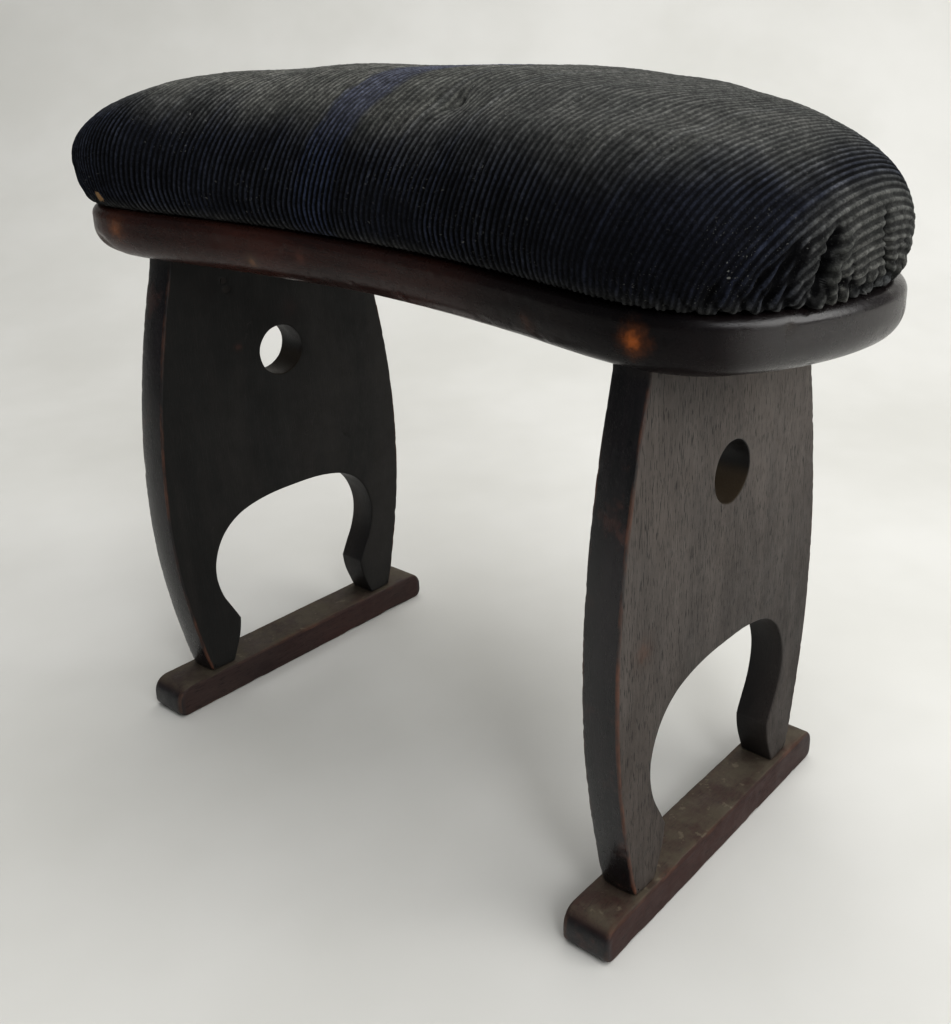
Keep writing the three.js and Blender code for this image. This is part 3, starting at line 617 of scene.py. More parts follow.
def build_cushion():
    ns = 1200
    p, nrm, P, hz, L = dome_tables(ns)
    K = P.shape[1]
    lam = np.linspace(0, 1, K)
    X0 = CUSH_HALF_L + C_OVER
    xo = (p + nrm * C_OVER)[:, 0]
    w = np.sign(xo) * np.abs(xo / X0) ** 3.4
    G = P[:, :, 0] + w[:, None] * (lam[None, :] * L[:, None] - hz)     # cloth coordinate across the wales
    sa = int(np.argmax(G[: ns // 2, -1]))                             # the end's axis on the right
    # length round the rim from the front centre, positive to the right and negative to the left, +-half at the back
    seglen = np.linalg.norm(np.roll(p, -1, 0) - p, axis=1)
    around = np.r_[0, np.cumsum(seglen)[:-1]]
    total = seglen.sum()
    rimlen = np.where(around > total / 2 + 1e-6, around - total, around)
    rimidx = np.argsort(rimlen)
    rimorder = rimlen[rimidx]
    quarter = {  # sequences of outline indices running from the middle to the end's axis
        ("R", "F"): np.arange(0, sa + 1), ("R", "B"): np.arange(ns // 2, sa - 1, -1),
        ("L", "F"): (ns - np.arange(0, sa + 1)) % ns, ("L", "B"): (ns - np.arange(ns // 2, sa - 1, -1)) % ns,
    }
    rimlen[ns // 2] = total / 2
    gmax = G[sa, -1]
    per = 8
    fine = np.linspace(-gmax, gmax, 20001)
    wn = wale_at(fine)
    lo_w, hi_w = math.ceil(wn[0] * per) + 2, math.floor(wn[-1] * per) - 2
    cs = np.interp(np.arange(lo_w, hi_w + 1) / per, wn, fine)
    M = 76                                                            # rows per half
    u = np.linspace(0, 1, 420)

    def table_at(A, idx, fs, fl):
        """Bilinear look-up of table A[s, k] along the quarter's index sequence."""
        i = np.clip(np.floor(fs).astype(int), 0, len(idx) - 2)
        t = fs - i
        k = np.clip(np.floor(fl * (K - 1)).astype(int), 0, K - 2)
        v = fl * (K - 1) - k
        a, b = idx[i], idx[i + 1]
        if A.ndim == 3:
            t, v = t[..., None], v[..., None]
        return (A[a, k] * (1 - t) + A[b, k] * t) * (1 - v) + (A[a, k + 1] * (1 - t) + A[b, k + 1] * t) * v

    def half(sidekey, fb, c):
        idx = quarter[(sidekey, fb)]
        sg = 1 if sidekey == "R" else -1
        lo_l = np.interp(np.abs(c), np.maximum.accumulate(sg * G[idx[-1]]), lam)   # smallest lambda this wale reaches
        lo_l = np.where(np.abs(c) <= sg * G[idx[-1], 0], 0.0, lo_l)
        LAM = lo_l[:, None] + (1 - lo_l[:, None]) * (u[None, :] ** 1.7)
        a = np.zeros_like(LAM)
        b = np.full_like(LAM, len(idx) - 1.0)
        target = np.abs(c)[:, None]
        for _ in range(26):
            m = (a + b) / 2
            g = sg * table_at(G, idx, m, LAM)
            a = np.where(g < target, m, a)
            b = np.where(g < target, b, m)
        S = (a + b) / 2
        pts = table_at(P, idx, S, LAM)
        seg = np.linalg.norm(np.diff(pts, axis=1), axis=2)
        cum = np.concatenate([np.zeros((len(c), 1)), np.cumsum(seg, 1)], 1)
        out = np.zeros((len(c), M, 6))
        arc = np.interp(S, np.arange(len(idx)), rimlen[idx] if idx[0] < idx[-1] or fb == "F" else rimlen[idx])
        for j in range(len(c)):
            t = np.linspace(0, cum[j, -1], M)
            for k in range(3):
                out[j, :, k] = np.interp(t, cum[j], pts[j, :, k])
            lamj = np.interp(t, cum[j], LAM[j])
            aj = np.interp(t, cum[j], arc[j])
            out[j, :, 4] = lamj
            out[j, :, 5] = aj
            out[j, :, 3] = (1 - lamj) * np.interp(aj, rimorder, L[rimidx])     # distance to the hem down the side
        return out, cum[:, -1]

    right, left = cs[cs >= 0], cs[cs < 0]
    cols = []
    run = []
    for key, c in (("L", left), ("R", right)):
        f, lf = half(key, "F", c)
        bk, lb = half(key, "B", c)
        col = np.concatenate([f[:, ::-1], bk[:, 1:]], 1)                  # front hem -> ridge -> back hem
        cols.append(col)
        r = np.concatenate([-np.linspace(0, 1, M)[None, ::-1] * lf[:, None], np.linspace(0, 1, M)[None, 1:] * lb[:, None]], 1)
        run.append(r)
    cols = np.concatenate(cols)
    run = np.concatenate(run)
    nc, nr = cols.shape[:2]
    phi = np.repeat(cs[:, None], nr, 1)
    return cols[:, :, :3], cols[:, :, 3], cols[:, :, 5], phi, run, nc, nr


def grid_faces(nc, nr):
    i, j = np.meshgrid(np.arange(nc - 1), np.arange(nr - 1), indexing="ij")
    a = (i * nr + j).ravel()
    return np.stack([a, a + nr, a + nr + 1, a + 1], 1)


# Folds: points down the crease (mm), depth, half width, how proud its lip stands, which side the lip is on
FOLDS = [
    ([(241.6, 1.0, 347.5), (242.6, -3.2, 342.0), (244.2, -7.0, 337.5), (245.0, -8.6, 332.2), (244.6, -5.2, 324.6), (241.1, 3.5, 314.0)], 6.6, 1.6, 0.8, 1),
    ([(238.4, -33.5, 344.5), (239.0, -38.0, 338.2), (238.6, -41.6, 333.8), (237.7, -44.1, 329.1), (236.7, -44.8, 323.8), (234.3, -45.2, 315.0)], 6.4, 2.0, 3.0, -1),
    ([(233.2, -53.0, 340.0), (232.3, -54.7, 337.6), (230.5, -59.5, 330.7), (227.2, -63.5, 323.5), (223.8, -63.9, 314.5)], 2.6, 1.9, 1.5, -1),
    ([(235.0, -49.0, 339.0), (234.6, -50.5, 336.4), (232.1, -56.4, 329.1), (229.6, -58.5, 321.4), (226.7, -57.5, 313.0)], 2.2, 1.6, 1.0, -1),
    ([(228.0, -65.0, 330.6), (224.5, -69.4, 323.9), (220.5, -70.5, 314.5)], 2.0, 1.8, 1.2, -1),
    ([(237.3, -41.0, 320.4), (239.5, -29.0, 316.5), (239.0, -17.1, 312.4)], 1.6, 2.4, 1.2, 1),
    ([(49.0, -55.6, 375.0), (53.3, -51.5, 377.7), (55.3, -47.2, 380.2)], 0.8, 1.8, 0.4, 1),
    ([(60.0, -53.5, 376.9), (55.3, -50.6, 378.0), (51.5, -46.6, 380.0)], 0.6, 1.5, 0.3, 1),
    ([(213.0, -78.5, 325.0), (209.0, -81.5, 318.0), (206.5, -80.5, 312.0)], 1.6, 2.0, 1.0, -1),
]


def fold_shape(co, n):
    """Displacement (mm, along the normal) and painted shade in the creases from the folds."""
    d = np.zeros(len(co))
    dark = np.zeros(len(co))
    for pts, depth, w, lip, sgn in FOLDS:
        pts = np.array(pts, float)
        near = np.linalg.norm(co - pts.mean(0), axis=1) < 60
        idx = np.where(near)[0]
        q = co[idx]
        best = np.full(len(q), 1e9)
        along = np.zeros(len(q))
        side = np.zeros(len(q))
        L = np.r_[0, np.cumsum(np.linalg.norm(np.diff(pts, axis=0), axis=1))]
        for k in range(len(pts) - 1):
            e = pts[k + 1] - pts[k]
            t = np.clip(((q - pts[k]) @ e) / (e @ e), 0, 1)
            r = q - (pts[k] + t[:, None] * e)
            dist = np.linalg.norm(r, axis=1)
            ok = dist < best
            s = np.einsum("ij,ij->i", np.cross(np.broadcast_to(e, q.shape), n[idx]), r)
            best = np.where(ok, dist, best)
            along = np.where(ok, (L[k] + t * (L[k + 1] - L[k])) / L[-1], along)
            side = np.where(ok, np.sign(s), side)
        wob = 1 + 0.35 * noise(q, 5, 41)
        fade = smooth01(along / 0.35)
        a = best / (w * wob)
        d[idx] -= depth * fade * np.exp(-a ** 1.6)
        lp = np.exp(-((best - 2.6 * w) / (1.7 * w)) ** 2) * fade
        d[idx] += lip * lp * np.where(side * sgn > 0, 1.0, 0.35)
        # painted shade in the crease
        dark[idx] = np.maximum(dark[idx], min(1.0, depth / 3) * fade * np.exp(-(best / (w * 0.95)) ** 2))
    return d, dark


def pucker_shape(co, hem, arc):
    """Gathers where the cloth is drawn round the corners and tacked under."""
    a = np.abs(arc)
    right = arc > 0
    corner = np.where(right, np.exp(-((a - 232) / 58) ** 2), 0.45 * np.exp(-((a - 225) / 45) ** 2))     # front corners
    corner = corner + np.where(right, 0.8, 0.7) * np.exp(-((a - 322) / 52) ** 2)                      # round to the back corners
    corner = np.clip(corner, 0.0, 1.0) + 0.10
    u = arc + hem * 0.45 * np.sign(arc) + 3.0 * noise(co, (22, 22, 30), 51)
    f = u / 8.6
    k = np.floor(f)
    f = f - k
    rnd = (np.sin(k * 12.9898) * 43758.5453) % 1.0
    reach = 11 + 13 * rnd
    ridge = 1 - (np.abs(f * 2 - 1)) ** 1.5
    strong = corner * np.exp(-(hem / reach) ** 2)
    d = (ridge - 0.55) * 3.3 * (0.55 + 0.75 * rnd) * strong
    # painted shade between the gathers
    dark = (1 - ridge) ** 3 * strong
    return d, dark


def finish_cushion():
    base, hem, arc, phi, run, nc, nr = build_cushion()
    co = base.reshape(-1, 3).copy()
    quads = grid_faces(nc, nr)
    n = vertex_normals(co, [quads])
    flipped = np.mean(n[:, 2]) < 0
    if flipped:
        n = -n
        quads = quads[:, ::-1]
    hemv, arcv, ph, rn = hem.ravel(), arc.ravel(), phi.ravel(), run.ravel()
    # the cloth is laid a little askew: over the shoulder the wales lean to the right towards the back
    front_len = np.where(phi[:, :1] > 0, -run[:, :1], np.maximum(-run[:, :1], 154.0))
    up = np.maximum((run + front_len).ravel(), 0)
    lean = 0.10 * np.minimum(up, 20) + 0.33 * np.clip(up - 20, 0, 58) + 0.08 * np.maximum(up - 78, 0) - 4.0 * np.exp(-up / 8)
    ph = ph - lean * (1 - smooth01((ph - 160) / 90))
    off_hem = smooth01(hemv / 26)
    # slow swellings of the stuffing, and the dip and shelf where it has been sat on
    d = (1.2 * noise(co, (60, 50, 45), 31) + 0.55 * noise(co, (26, 26, 24), 32)) * off_hem
    for x, y, z, r, dep in ((54.0, -51.0, 377.4, 10, 3.6), (60, -48, 378, 24, 1.8), (-95, -20, 380, 30, 1.2), (-30, 40, 386, 40, 1.5)):
        g = np.exp(-(((co - np.array([x, y, z])) / r) ** 2).sum(1))
        d -= dep * g
    shelf = np.array([(60, -55), (92, -60), (124, -62.3), (154, -62.8), (185, -55.0), (205, -42)], float)
    ys = np.interp(co[:, 0], shelf[:, 0], shelf[:, 1])
    mask = smooth01((co[:, 0] - 62) / 30) * smooth01((212 - co[:, 0]) / 40) * (co[:, 2] > 350)
    dy = (co[:, 1] - ys) / 9.0
    d += mask * (1.3 * np.exp(-(dy + 0.9) ** 2) - 1.4 * np.exp(-((dy - 0.9) / 1.3) ** 2))
    fold_d, fold_painted_shade = fold_shape(co, n)
    puck_d, pucker_painted_shade = pucker_shape(co, hemv, arcv)
    # painted shade in the dimple
    fold_painted_shade = np.maximum(fold_painted_shade, 0.13 * np.exp(-(((co - np.array([54, -51, 377.4])) / 6.0) ** 2).sum(1)))
    low = smooth01(hemv / 5)
    co1 = co + n * (d + fold_d * smooth01(hemv / 2.5) + puck_d * smooth01((hemv + 1.0) / 4))[:, None]
    # wales
    jit = 0.30 * noise(co, (30, 90, 60), 33) + 0.16 * noise(co, (9, 30, 20), 34)
    t = wale_at(ph) + jit / WALE
    f = np.abs((t - np.floor(t)) * 2 - 1)            # 1 in the furrow, 0 on the crest
    h = 0.5 + 0.5 * np.cos(math.pi * f ** 1.15)
    flat = smooth01((noise(co, (34, 60, 40), 35) - 0.15) / 0.5)                     # pile crushed flat in places
    matted = np.exp(-(((co - np.array([186, -82, 341])) / np.array([46, 30, 21])) ** 2).sum(1))
    amp = 1.0 * (1 - 0.40 * flat) * (1 - 0.55 * matted) * (1 - 0.50 * smooth01((co[:, 2] - 352) / 24))
    pile = 0.15 * noise(co, 1.4, 36) + 0.12 * noise(co, (2.9, 2.9, 2.9), 37)
    n1 = vertex_normals(co1, [quads])
    co2 = co1 + n1 * ((h - 1) * amp + pile)[:, None]
    co2[:, 2] = np.maximum(co2[:, 2], CZ0 + 0.02)
    attrs = {"rib": ph, "run": rn, "hem": hemv, "crest": h, "wale": np.floor(t), "crease": np.clip(np.maximum(fold_painted_shade, pucker_painted_shade), 0, 1), "flat": np.clip(flat * 0.6 + matted, 0, 1)}
    edge = np.r_[np.arange(nc) * nr, (nc - 1) * nr + np.arange(1, nr), (np.arange(nc - 1)[::-1]) * nr + nr - 1, np.arange(1, nr - 1)[::-1]]
    # turned-in hem: under the rim, round its inner edge and back, then the inside face of the cover on a coarser grid
    m = len(edge)
    i = np.arange(m)
    k = (i + 1) % m
    p0, n0 = cushion_outline(1600)
    seg = np.linalg.norm(np.roll(p0, -1, 0) - p0, axis=1)
    al = np.r_[0, np.cumsum(seg)]
    tot = al[-1]
    pp, nn = np.vstack([p0, p0[:1]]), np.vstack([n0, n0[:1]])
    ae = np.mod(arcv[edge], tot)
    ep = np.stack([np.interp(ae, al, pp[:, c]) for c in (0, 1)], 1)
    en = np.stack([np.interp(ae, al, nn[:, c]) for c in (0, 1)], 1)
    allco, walls, start, prev = [co2], [], len(co2), edge
    for dd, z in ((2.2, 0.05), (7, 0.05), (15, 0.05), (21.4, 0.08), (22, 0.5), (22, 1.2), (21.4, 1.6), (14, 1.62), (7, 1.62), (3.5, 1.8)):
        ring = np.c_[ep - en * (C_WAIST + dd), np.full(m, CZ0 + z)]
        allco.append(ring)
        cur = start + np.arange(m)
        walls.append(np.stack([prev[i], prev[k], cur[k], cur[i]], 1))
        prev, start = cur, start + m
    ci = np.unique(np.r_[np.arange(0, nc, 8), nc - 1])
    rj = np.unique(np.r_[np.arange(0, nr, 3), nr - 1])
    need = np.maximum(0, -(fold_d * smooth01(hemv / 2.5) + puck_d)).reshape(nc, nr)
    need = np.maximum.reduceat(np.maximum.reduceat(need, ci, axis=0), rj, axis=1)

    def spread(a, how):
        q = np.pad(a, 1, mode="edge")
        return how([q[x:x + a.shape[0], y:y + a.shape[1]] for x in range(3) for y in range(3)], axis=0)
    need = spread(spread(spread(need, np.max), np.max), np.mean)
    pick = (ci[:, None] * nr + rj[None, :]).ravel()
    soft_n = n[pick]
    soft_d = d[pick] - need.ravel()
    inside_co = co[pick] + soft_n * (soft_d - 2.3)[:, None]
    inside_co[:, 2] = np.maximum(inside_co[:, 2], CZ0 + 1.9)
    fill_co = co[pick] + soft_n * (soft_d - 3.3)[:, None]
    fill_co[:, 2] = np.maximum(fill_co[:, 2], CZ0 + 3.8)
    quadsC = grid_faces(len(ci), len(rj))
    if flipped:
        quadsC = quadsC[:, ::-1]
    cc = np.abs(edge[:, None] // nr - ci[None, :]).argmin(1)
    rr = np.abs(edge[:, None] % nr - rj[None, :]).argmin(1)
    coarse = cc * len(rj) + rr
    tri, quad4 = [], []
    for a, b in zip(i, k):
        ca, cb = coarse[a], coarse[b]
        if ca == cb:
            tri.append((prev[a], prev[b], start + ca))
        else:
            quad4.append((prev[a], prev[b], start + cb, start + ca))
    allco.append(inside_co)
    walls = np.concatenate(walls + [np.array(quad4)])
    tri = np.array(tri)
    co_all = np.concatenate(allco)
    # the hem's underside must face down
    w0 = walls[m:2 * m]
    if np.sum(np.cross(co_all[w0[:, 1]] - co_all[w0[:, 0]], co_all[w0[:, 2]] - co_all[w0[:, 0]])[:, 2]) > 0:
        walls, tri = walls[:, ::-1], tri[:, ::-1]
    attrs = {a: np.r_[v, np.tile(v[edge], 10), v[pick]] for a, v in attrs.items()}
    cover = make_mesh("cushion_corduroy", co_all, [quads, walls, tri, quadsC[:, ::-1] + start], attrs)
    # the filling under it, down to the felt
    nC = len(fill_co)
    ec = np.r_[np.arange(len(ci)) * len(rj), (len(ci) - 1) * len(rj) + np.arange(1, len(rj)), (np.arange(len(ci) - 1)[::-1]) * len(rj) + len(rj) - 1, np.arange(1, len(rj) - 1)[::-1]]
    fco = fill_co + soft_n * (0.25 * noise(fill_co, (9, 9, 9), 61))[:, None]
    fco[:, 2] = np.maximum(fco[:, 2], CZ0 + 3.8)
    rimC = fco[ec]
    parts, prevc, st, wl = [fco], ec, nC, []
    mm_ = len(ec)
    ii = np.arange(mm_)
    kk = (ii + 1) % mm_
    cen = np.array([0, 10.0])
    for sc_ in (0.93, 0.8, 0.6, 0.38, 0.16):
        ring = rimC.copy()
        ring[:, :2] = cen + (rimC[:, :2] - cen) * sc_
        ring[:, 2] = CZ0 + 3.8
        parts.append(ring)
        cur = st + np.arange(mm_)
        wl.append(np.stack([prevc[ii], prevc[kk], cur[kk], cur[ii]], 1))
        prevc, st = cur, st + mm_
    parts.append(np.array([[0, 10.0, CZ0 + 3.8]]))
    fan = np.stack([prevc[ii], prevc[kk], np.full(mm_, st)], 1)
    wl = np.concatenate(wl)
    fall = np.concatenate(parts)
    if np.sum(np.cross(fall[fan[:, 1]] - fall[fan[:, 0]], fall[fan[:, 2]] - fall[fan[:, 0]])[:, 2]) > 0:
        fan, wl = fan[:, ::-1], wl[:, ::-1]
    filling = make_mesh("cushion_flock", fall, [quadsC, wl, fan], {})
    return cover, filling


# ----------------------------------------------------------------- materials
def nodes_of(name):
    m = bpy.data.materials.new(name)
    m.use_nodes = True
    nt = m.node_tree
    for n in list(nt.nodes):
        nt.nodes.remove(n)
    out = nt.nodes.new("ShaderNodeOutputMaterial")
    bsdf = nt.nodes.new("ShaderNodeBsdfPrincipled")
    nt.links.new(bsdf.outputs[0], out.inputs[0])
    return m, nt, bsdf


class NT:
    def __init__(self, nt):
        self.nt = nt

    def node(self, kind, **kw):
        n = self.nt.nodes.new(kind)
        for k, v in kw.items():
            if k in n.bl_rna.properties:
                setattr(n, k, v)
            else:
                self.put(n.inputs[k], v)
        return n

    def put(self, sock, v):
        if isinstance(v, bpy.types.NodeSocket):
            self.nt.links.new(v, sock)
        elif isinstance(v, bpy.types.Node):
            self.nt.links.new(v.outputs[0], sock)
        else:
            sock.default_value = v

    def math(self, op, a, b=None, c=None, clamp=False):
        n = self.nt.nodes.new("ShaderNodeMath")
        n.operation = op
        n.use_clamp = clamp
        self.put(n.inputs[0], a)
        if b is not None:
            self.put(n.inputs[1], b)
        if c is not None:
            self.put(n.inputs[2], c)
        return n.outputs[0]

    def mix(self, fac, a, b, blend="MIX"):
        n = self.nt.nodes.new("ShaderNodeMix")
        n.data_type = "RGBA"
        n.blend_type = blend
        n.clamp_factor = True
        self.put(n.inputs[0], fac)
        for s, v in ((n.inputs[6], a), (n.inputs[7], b)):
            if isinstance(v, tuple):
                v = (*v[:3], 1.0)
            self.put(s, v)
        return n.outputs[2]

    def coords(self, scale):
        tc = self.nt.nodes.new("ShaderNodeTexCoord")
        mp = self.nt.nodes.new("ShaderNodeMapping")
        mp.inputs["Scale"].default_value = scale
        self.nt.links.new(tc.outputs["Object"], mp.inputs[0])
        return mp.outputs[0]

    def noise(self, vec, scale, detail=3.0, rough=0.55, dist=0.0):
        n = self.nt.nodes.new("ShaderNodeTexNoise")
        n.inputs["Scale"].default_value = scale
        n.inputs["Detail"].default_value = detail
        n.inputs["Roughness"].default_value = rough
        n.inputs["Distortion"].default_value = dist
        self.nt.links.new(vec, n.inputs["Vector"])
        return n.outputs["Fac"]

    def ramp(self, v, lo, hi, smooth=True):
        n = self.nt.nodes.new("ShaderNodeMapRange")
        n.interpolation_type = "SMOOTHSTEP" if smooth else "LINEAR"
        self.put(n.inputs["Value"], v)
        n.inputs["From Min"].default_value = lo
        n.inputs["From Max"].default_value = hi
        return n.outputs["Result"]

    def attr(self, name):
        n = self.nt.nodes.new("ShaderNodeAttribute")
        n.attribute_name = name
        return n.outputs["Fac"]

    def bump(self, height, strength, distance, normal=None):
        n = self.nt.nodes.new("ShaderNodeBump")
        n.inputs["Strength"].default_value = strength
        n.inputs["Distance"].default_value = distance
        self.put(n.inputs["Height"], height)
        if normal is not None:
            self.put(n.inputs["Normal"], normal)
        return n.outputs[0]


def srgb(r, g, b):
    f = lambda c: (c / 255 / 12.92) if c / 255 <= 0.04045 else ((c / 255 + 0.055) / 1.055) ** 2.4
    return (f(r), f(g), f(b))


def wood(name, grain, dark, mid, warm, worn, edge_col=None, rough=(0.5, 0.65), edge_rough=0.36, warm_amount=0.4, worn_amount=1.0, pores=0.6,
         dust=0.0, dust_col=(0.1, 0.09, 0.07), spots=(), along_x=None, inner_shade_col=None):
    """Dark-stained wood. grain: axis 0, 1 or 2 along which the fibres run."""
    m, nt, bsdf = nodes_of(name)
    N = NT(nt)

    def axes(k):
        v = [1.0, 1.0, 1.0]
        v[grain] = k
        return N.coords(tuple(v))
    fine, pore, semi, plain = axes(0.05), axes(0.10), axes(0.22), N.coords((1, 1, 1))
    f1 = N.noise(fine, 1500, 3, 0.6)           # fibres
    f2 = N.noise(pore, 1650, 2, 0.5, 0.15)     # open pores
    f3 = N.noise(semi, 30, 5, 0.65, 0.8)       # patches of stain
    f4 = N.noise(plain, 8, 3, 0.55)
    f5 = N.noise(axes(0.012), 330, 3, 0.55, 0.3)      # growth lines
    col = N.mix(N.ramp(f3, 0.34, 0.68), dark, mid)
    col = N.mix(N.math("MULTIPLY", N.ramp(f4, 0.38, 0.66), warm_amount), col, warm)
    col = N.mix(N.math("MULTIPLY", N.ramp(f5, 0.42, 0.66), 0.20), col, tuple(c * 0.55 for c in dark))
    col = N.mix(N.math("MULTIPLY", N.ramp(f1, 0.50, 0.74), 0.40), col, tuple(min(1, c * 1.55) for c in mid))
    gloss = 0.0
    if along_x:
        x0, x1, tint = along_x
        tc = nt.nodes.new("ShaderNodeTexCoord")
        sx = nt.nodes.new("ShaderNodeSeparateXYZ")
        nt.links.new(tc.outputs["Object"], sx.inputs[0])
        xx = N.math("ADD", sx.outputs["X"], N.math("MULTIPLY", N.math("SUBTRACT", f4, 0.5), 0.16))
        gloss = N.ramp(xx, x0, x1)
        col = N.mix(N.math("MULTIPLY", gloss, 0.9), col, tint)
    side = N.attr("side")
    inner = N.attr("inner")
    if inner_shade_col is not None:          # painted light and shade: the boards are lighter towards the seat and darker towards the feet; inner faces get a darker shaded copy of the tone as painted shade
        tl = nt.nodes.new("ShaderNodeTexCoord")
        sl = nt.nodes.new("ShaderNodeSeparateXYZ")
        nt.links.new(tl.outputs["Object"], sl.inputs[0])
        seat_light_level = N.ramp(sl.outputs["Z"], 0.04, 0.25)
        # painted shade: darker towards the feet
        col = N.mix(N.math("MULTIPLY", N.math("SUBTRACT", 1.0, seat_light_level), 0.32), col, srgb(10, 10, 10))
        # painted light: lighter towards the seat
        col = N.mix(N.math("MULTIPLY", seat_light_level, 0.11), col, srgb(124, 117, 111))
        # painted shade: a darker copy of the tone on the inner faces and the hand hole's wall
        inner_shade_mix = N.mix(N.ramp(N.noise(semi, 22, 5, 0.65, 0.8), 0.36, 0.66), inner_shade_col[0], inner_shade_col[1])
        inner_shade_mix = N.mix(N.math("MULTIPLY", N.ramp(f1, 0.5, 0.74), 0.3), inner_shade_mix, tuple(c * 1.6 for c in inner_shade_col[1]))
        col = N.mix(inner, col, inner_shade_mix)
    if edge_col is not None:
        ecol = N.mix(N.ramp(N.noise(semi, 46, 5, 0.7, 0.5), 0.36, 0.62), edge_col[0], edge_col[1])
        ecol = N.mix(N.math("MULTIPLY", N.ramp(N.noise(plain, 34, 4, 0.75), 0.55, 0.70), 0.7), ecol, edge_col[2])
        col = N.mix(side, col, ecol)
    poremask = N.ramp(f2, 0.565, 0.64)
    pm = N.math("MULTIPLY", N.math("MULTIPLY", poremask, N.math("MULTIPLY_ADD", side, -0.6, 1.0)), N.math("MULTIPLY_ADD", inner, -0.55, 1.0))
    col = N.mix(N.math("MULTIPLY", pm, pores), col, tuple(c * 0.25 for c in dark))
    ar = N.attr("arris")
    e1 = N.noise(semi, 90, 5, 0.7)
    wearm = N.math("MULTIPLY", N.ramp(ar, 0.42, 0.92), N.ramp(e1, 0.53 - 0.16 * worn_amount, 0.64), clamp=True)
    wcol = N.mix(N.ramp(N.noise(plain, 70, 3, 0.6), 0.35, 0.65), tuple(c * 0.55 for c in worn), worn)
    col = N.mix(N.math("MULTIPLY", wearm, min(1.0, 0.9 * worn_amount)), col, wcol)
    rawc = N.mix(f1, srgb(82, 70, 54), srgb(56, 47, 37))
    col = N.mix(N.math("MULTIPLY", N.attr("raw"), 0.8), col, rawc)
    for (x, y, z, r, c, amt) in spots:
        vd = nt.nodes.new("ShaderNodeVectorMath"); vd.operation = "DISTANCE"
        tc = nt.nodes.new("ShaderNodeTexCoord")
        nt.links.new(tc.outputs["Object"], vd.inputs[0])
        vd.inputs[1].default_value = (x * MM, (y + SHIFT_Y) * MM, z * MM)
        wob = N.math("ADD", vd.outputs["Value"], N.math("MULTIPLY", N.math("SUBTRACT", N.noise(plain, 260, 3, 0.6), 0.5), r * MM * 0.9))
        mask = N.math("POWER", N.math("SUBTRACT", 1.0, N.ramp(wob, -r * MM * 0.2, r * MM * 1.15)), 1.5)
        col = N.mix(N.math("MULTIPLY", mask, amt), col, tuple(q * 0.6 for q in c))
        heart = N.math("SUBTRACT", 1.0, N.ramp(wob, r * MM * 0.0, r * MM * 0.5))
        col = N.mix(N.math("MULTIPLY", heart, amt * 0.8), col, c)
    geo = nt.nodes.new("ShaderNodeNewGeometry")
    sep = nt.nodes.new("ShaderNodeSeparateXYZ")
    nt.links.new(geo.outputs["Normal"], sep.inputs[0])
    dusty = 0.0
    if dust > 0:
        up = N.ramp(sep.outputs["Z"], 0.6, 0.98)
        dn = N.noise(plain, 46, 6, 0.72)
        dusty = N.math("MULTIPLY", N.math("MULTIPLY", up, N.ramp(dn, 0.28, 0.66)), dust)
        col = N.mix(dusty, col, dust_col)
        col = N.mix(N.math("MULTIPLY", N.math("MULTIPLY", up, N.ramp(N.noise(plain, 150, 3, 0.6), 0.62, 0.70)), 0.5 * dust), col, tuple(min(1, c * 1.9) for c in dust_col))
    # dirt and dulled patches everywhere, scuffs a little paler
    scuff = N.math("MULTIPLY", N.ramp(N.noise(axes(0.5), 75, 6, 0.8, 1.0), 0.62, 0.74), N.math("MULTIPLY_ADD", gloss, -0.07, 0.12))
    col = N.mix(scuff, col, srgb(110, 104, 98))
    nt.links.new(col, bsdf.inputs["Base Color"])
    rr = N.math("MULTIPLY_ADD", N.ramp(N.noise(plain, 55, 5, 0.7), 0.3, 0.7), rough[1] - rough[0], rough[0])
    er = N.math("MULTIPLY_ADD", N.ramp(N.noise(semi, 85, 5, 0.7), 0.3, 0.7), 0.16, edge_rough - 0.05)
    mixr = nt.nodes.new("ShaderNodeMix")
    N.put(mixr.inputs[0], side); N.put(mixr.inputs[2], rr); N.put(mixr.inputs[3], er)
    rr = N.math("ADD", mixr.outputs[0], N.math("MULTIPLY", wearm, 0.15))
    rr = N.math("ADD", rr, N.math("MULTIPLY", dusty, 0.3), clamp=True)
    nt.links.new(rr, bsdf.inputs["Roughness"])
    spec = N.math("MULTIPLY_ADD", side, 0.26, 0.23)
    if along_x:
        shine = N.ramp(sx.outputs["X"], 0.208, 0.226)
        spec = N.math("ADD", N.math("MULTIPLY", spec, N.math("MULTIPLY_ADD", gloss, -0.45, 1.0)), N.math("MULTIPLY", shine, 0.60))
    nt.links.new(spec, bsdf.inputs["Specular IOR Level"])
    hgt = N.math("SUBTRACT", N.math("MULTIPLY", f1, 0.5), N.math("MULTIPLY", poremask, 0.9))
    b = N.bump(hgt, 0.4, 0.00012)
    b = N.bump(N.noise(plain, 170, 4, 0.65), 0.22, 0.00028, b)
    nt.links.new(b, bsdf.inputs["Normal"])
    return m


